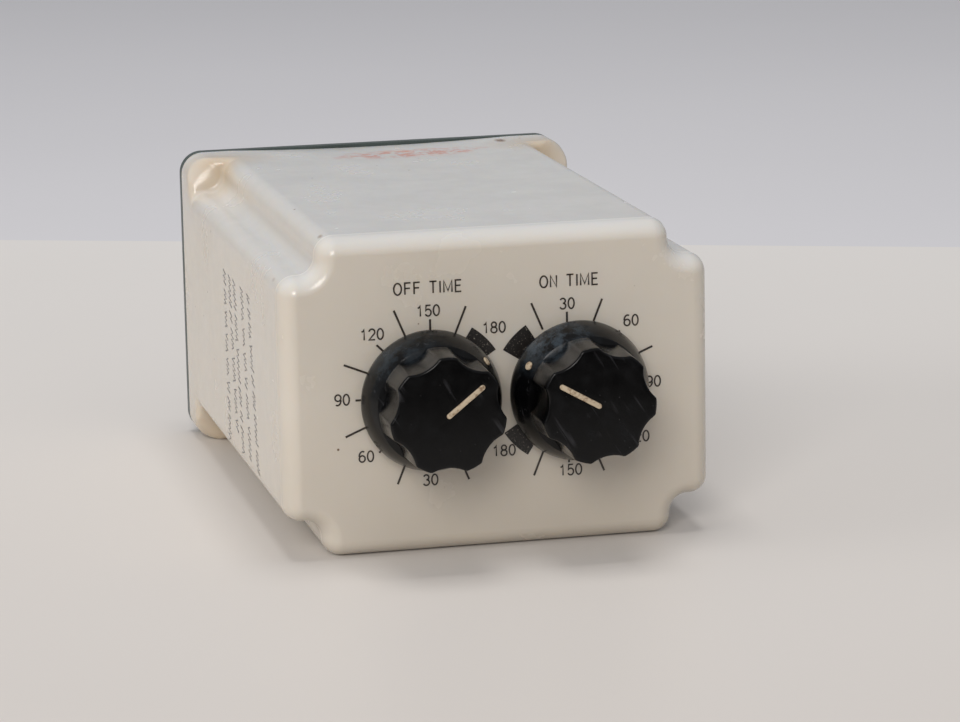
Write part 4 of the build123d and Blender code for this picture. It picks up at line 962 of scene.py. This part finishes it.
def build_dot(name, material):
    """A cream peg set square to the slope of the skirt."""

    def section(radius, height):
        return [(x, y, height) for x, y in arc((0, 0), radius, 0, 360, 32)[:-1]]

    slope = math.atan((GRIP_BASE - SKIRT_EDGE) / (SKIRT_RADIUS - SHOULDER_RADIUS))
    share = (SKIRT_RADIUS + SKIRT_BULGE - DOT_CIRCLE_RADIUS) / (SKIRT_RADIUS - SHOULDER_RADIUS)
    height = SKIRT_EDGE + (GRIP_BASE - SKIRT_EDGE) * share
    rings = domed_rings(section, DOT_RADIUS, -INLAY_DEPTH, DOT_PROUD, DOT_EDGE)
    dot = ring_object(f"{name}_skirt_dot", rings)
    lean = Matrix.Translation((DOT_CIRCLE_RADIUS, 0, height)) @ Matrix.Rotation(slope, 4, "Y")
    dot.data.transform(dial_place(name) @ lean)
    finish_piece(dot, material, f"{name}_dial")
    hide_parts(f"{name}_index_dot")


def build_knob(name, material):
    knob = ring_object(f"{name}_knob_shell", knob_rings())
    groove_half = POINTER_HALF_WIDTH + GROOVE_CLEARANCE
    groove = [
        stadium(groove_half, KNOB_TOP - INLAY_DEPTH),
        stadium(groove_half, KNOB_TOP + INLAY_DEPTH),
    ]
    cut(knob, ring_object("groove", groove))
    knob.data.transform(dial_place(name))
    finish_piece(knob, material, f"{name}_dial")
    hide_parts(f"{name}_knob")
    keep_flats(knob)


# ============================================================ dial print
def digit_strokes():
    """Thin-line digits in a box DIGIT_WIDTH wide and 1 high."""
    six = [oval((0.31, 0.30), (0.28, 0.30), 0, 360), oval((0.36, 0.50), (0.33, 0.50), 62, 178)]
    nine = [[(DIGIT_WIDTH - x, 1 - y) for x, y in stroke] for stroke in six]
    return {
        "0": [oval((0.31, 0.5), (0.28, 0.5), 0, 360)],
        "1": [[(0.12, 0.78), (0.28, 0.84), (0.36, 1.0), (0.36, 0.0)]],
        "2": [oval((0.31, 0.72), (0.27, 0.28), 170, -38) + [(0.03, 0.0), (0.60, 0.0)]],
        "3": [oval((0.29, 0.76), (0.24, 0.24), 160, -90), oval((0.29, 0.27), (0.28, 0.27), 85, -160)],
        "5": [[(0.56, 1.0), (0.14, 1.0), (0.08, 0.50)] + oval((0.31, 0.32), (0.28, 0.32), 125, -155)],
        "6": six,
        "8": [oval((0.31, 0.76), (0.23, 0.24), 0, 360), oval((0.31, 0.27), (0.28, 0.27), 0, 360)],
        "9": nine,
    }


def letter_strokes():
    """Thin-line capitals for the two dial titles."""
    return {
        " ": [],
        "E": [[(0.58, 0), (0.08, 0), (0.08, 1), (0.58, 1)], [(0.08, 0.53), (0.52, 0.53)]],
        "F": [[(0.08, 0), (0.08, 1), (0.58, 1)], [(0.08, 0.53), (0.52, 0.53)]],
        "I": [[(0.12, 0), (0.12, 1)]],
        "M": [[(0.03, 0), (0.03, 1), (0.38, 0.12), (0.73, 1), (0.73, 0)]],
        "N": [[(0.05, 0), (0.05, 1), (0.57, 0), (0.57, 1)]],
        "O": [oval((0.31, 0.5), (0.33, 0.5), 0, 360)],
        "T": [[(0.0, 1), (0.62, 1)], [(0.31, 1), (0.31, 0)]],
    }


STROKES = {**digit_strokes(), **letter_strokes()}


class Print:
    """Flat ink shapes gathered in one mesh, drawn in a plane's own two coordinates."""

    def __init__(self):
        self.vertices = []
        self.faces = []

    def strip(self, left, right):
        """A band between two lines of points."""
        first = len(self.vertices)
        for pair in zip(left, right):
            self.vertices.extend(pair)
        for k in range(len(left) - 1):
            corner = first + 2 * k
            self.faces.append((corner, corner + 1, corner + 3, corner + 2))

    def ribbon(self, points, width):
        """A line of even width through points, mitred at its corners."""
        spots = [Vector(point) for point in points]
        sides = [(after - before).normalized() for before, after in zip(spots, spots[1:])]
        left = []
        right = []
        for k, spot in enumerate(spots):
            before = sides[max(k - 1, 0)]
            after = sides[min(k, len(sides) - 1)]
            middle = (before + after).normalized()
            normal = Vector((-middle.y, middle.x))
            reach = min(1 / max(middle.dot(after), SHARPEST_MITRE), MITRE_LIMIT) * width / 2
            left.append(spot + normal * reach)
            right.append(spot - normal * reach)
        self.strip(left, right)

    def write(self, text, centre, height, width):
        """A line of text centred on a point."""
        advances = [LETTER_ADVANCES.get(character, ADVANCE) for character in text]
        left = centre[0] - (sum(advances) - (ADVANCE - DIGIT_WIDTH)) * height / 2
        low = centre[1] - height / 2
        for character, advance in zip(text, advances):
            for stroke in STROKES[character]:
                self.ribbon([(left + x * height, low + y * height) for x, y in stroke], width)
            left += advance * height

    def build(self, name, material, to_space):
        """Turn the drawing into a thin solid that rides on the housing."""
        inked = new_object(name, [to_space(point) for point in self.vertices], self.faces, False)
        film = inked.modifiers.new("film", "SOLIDIFY")
        film.thickness = INK_THICKNESS
        film.offset = 0
        apply_modifiers(inked)
        finish_piece(inked, material, "timer")


def on_panel(point):
    return (point[0], PANEL_Y - INK_LIFT, point[1])


def on_side_wall(point):
    return (-HALF_WIDTH - INK_LIFT, point[0], point[1])


def scale_angle(name, value):
    return math.radians(ZERO_ANGLE[name] - DEGREES_PER_UNIT * value)


def build_scale(name, ink, block_ink):
    """Ticks, numbers and title of one dial, and the solid blocks at its two ends."""
    centre = Vector((PRINT_CENTRE_X[name], PRINT_CENTRE_Z))
    hub = centre + Vector(TICK_SHIFT[name])
    scale = Print()
    ends = {value: LONG_TICK_END for value in LONG_TICKS}
    ends.update({value: SHORT_TICK_END for value in SHORT_TICKS})
    for value, end in ends.items():
        angle = scale_angle(name, value)
        outward = Vector((math.cos(angle), math.sin(angle)))
        scale.ribbon([hub + outward * TICK_START, hub + outward * end], TICK_WIDTH)
    for value, (x, z) in LABELS[name].items():
        scale.write(str(value), centre + Vector((x, z)) * MM, DIGIT_HEIGHT, STROKE_WIDTH)
    title, (x, z) = TITLES[name]
    scale.write(title, (x * MM, z * MM), TITLE_HEIGHT, STROKE_WIDTH)
    scale.build(f"{name}_scale_print", ink, on_panel)
    blocks = Print()
    for value in (0, SCALE_END):
        middle = math.degrees(scale_angle(name, value))
        span = (middle - BLOCK_HALF_ANGLE, middle + BLOCK_HALF_ANGLE)
        blocks.strip(arc(hub, BLOCK_START, *span, 14), arc(hub, BLOCK_END, *span, 14))
    blocks.build(f"{name}_end_blocks", block_ink, on_panel)


def build_side_marks(ink):
    """Columns of plain zigzags where the wall carries a block of small print."""
    marks = Print()
    for top_y, low_y, top, low in SIDE_COLUMNS:
        start = Vector((PANEL_Y + top_y * MM, top * MM))
        end = Vector((PANEL_Y + low_y * MM, low * MM))
        along = (end - start).normalized()
        length = (end - start).length
        travelled = 0.0
        side = 1
        while travelled < length:
            points = []
            for _ in range(RANDOM.randint(*SCRIBBLE_TURNS)):
                reach = RANDOM.uniform(*SCRIBBLE_REACH) * SCRIBBLE_HALF * side
                points.append(start + along * travelled + Vector((reach, 0)))
                travelled += RANDOM.uniform(*SCRIBBLE_STEPS)
                side = -side
            marks.ribbon(points, SCRIBBLE_WIDTH)
            travelled += SCRIBBLE_GAP
    marks.build("side_marks", ink, on_side_wall)


# ============================================================ stage
def build_camera():
    azimuth = math.radians(CAMERA_AZIMUTH)
    elevation = math.radians(CAMERA_ELEVATION)
    roll = math.radians(CAMERA_ROLL)
    back = Vector((
        math.sin(azimuth) * math.cos(elevation),
        -math.cos(azimuth) * math.cos(elevation),
        math.sin(elevation),
    ))
    level = Vector((0, 0, 1)).cross(back).normalized()
    upward = back.cross(level)
    right = level * math.cos(roll) + upward * math.sin(roll)
    up = upward * math.cos(roll) - level * math.sin(roll)
    camera = bpy.data.objects.new("camera", bpy.data.cameras.new("camera"))
    camera.data.lens = CAMERA_LENS
    camera.data.clip_start = 0.01
    turned = Matrix((right, up, back)).transposed().to_4x4()
    camera.matrix_world = Matrix.Translation(CAMERA_TARGET + back * CAMERA_DISTANCE) @ turned
    bpy.context.scene.collection.objects.link(camera)
    bpy.context.scene.camera = camera


def add_light(name, place, size, power, color):
    light = bpy.data.lights.new(name, "AREA")
    light.size = size
    light.energy = power
    light.color = color
    obj = bpy.data.objects.new(name, light)
    direction = Vector(LIGHT_AIM) - Vector(place)
    obj.rotation_mode = "QUATERNION"
    obj.rotation_quaternion = direction.to_track_quat("-Z", "Y")
    obj.location = place
    bpy.context.scene.collection.objects.link(obj)
    return obj


def level_sheet(name, low, high, height):
    corners = [(low[0], low[1]), (high[0], low[1]), (high[0], high[1]), (low[0], high[1])]
    return new_object(name, [(x, y, height) for x, y in corners], [(0, 1, 2, 3)], False)


def build_dark_card():
    """A black card in front of the object, seen only in its reflections."""
    card = level_sheet(
        "dark_card",
        (-DARK_CARD_HALF_WIDTH, DARK_CARD_START - DARK_CARD_LENGTH),
        (DARK_CARD_HALF_WIDTH, DARK_CARD_START),
        DARK_CARD_HEIGHT,
    )
    use(card, moulded_material("card_black", (0.01, 0.01, 0.01), 0.9))
    card.visible_camera = False
    card.visible_diffuse = False
    card.visible_shadow = False
    card.visible_transmission = False


def build_stage():
    floor = level_sheet("floor", (-FLOOR_HALF, -FLOOR_HALF), (FLOOR_HALF, FLOOR_HALF), 0)
    use(floor, floor_material())
    build_dark_card()
    world = bpy.data.worlds.new("studio")
    bpy.context.scene.world = world
    world.use_nodes = True
    background = world.node_tree.nodes["Background"]
    background.inputs["Color"].default_value = WORLD_COLOR
    background.inputs["Strength"].default_value = WORLD_STRENGTH
    add_light("key", *KEY_LIGHT)
    side = add_light("side", *SIDE_LIGHT)
    side.visible_glossy = False
    overhead = add_light("overhead", *OVERHEAD_LIGHT)
    overhead.visible_glossy = False


# ============================================================ all pieces
def paint_cad_nodes(materials):
    """Every CAD node takes the material of its own slot in the record."""
    for subpart in frame["record"]["subparts"]:
        use(frame["nodes"][subpart["node"]], materials[subpart["material_slot"]])


build_camera()
build_stage()
MATERIALS = node_materials()
paint_cad_nodes(MATERIALS)
build_housing(MATERIALS["housing_nylon"])
PAPER = (0.50, 0.45, 0.38)
SCALE_INK = ink_material("scale_ink", (0.024, 0.018, 0.014), (0.09, 0.07, 0.055), 900)
BLOCK_INK = ink_material("block_ink", (0.010, 0.008, 0.007), PAPER, 4200, 0.60, 0.78)
SIDE_INK = ink_material("side_ink", (0.075, 0.072, 0.075), (0.26, 0.25, 0.24), 1500)
for dial in DIAL_AXES:
    build_knob(dial, MATERIALS["knob_black"])
    build_pointer(dial, MATERIALS["marker_cream"])
    build_dot(dial, MATERIALS["marker_cream"])
    build_scale(dial, SCALE_INK, BLOCK_INK)
build_side_marks(SIDE_INK)

bpy.context.scene.view_settings.view_transform = "Standard"
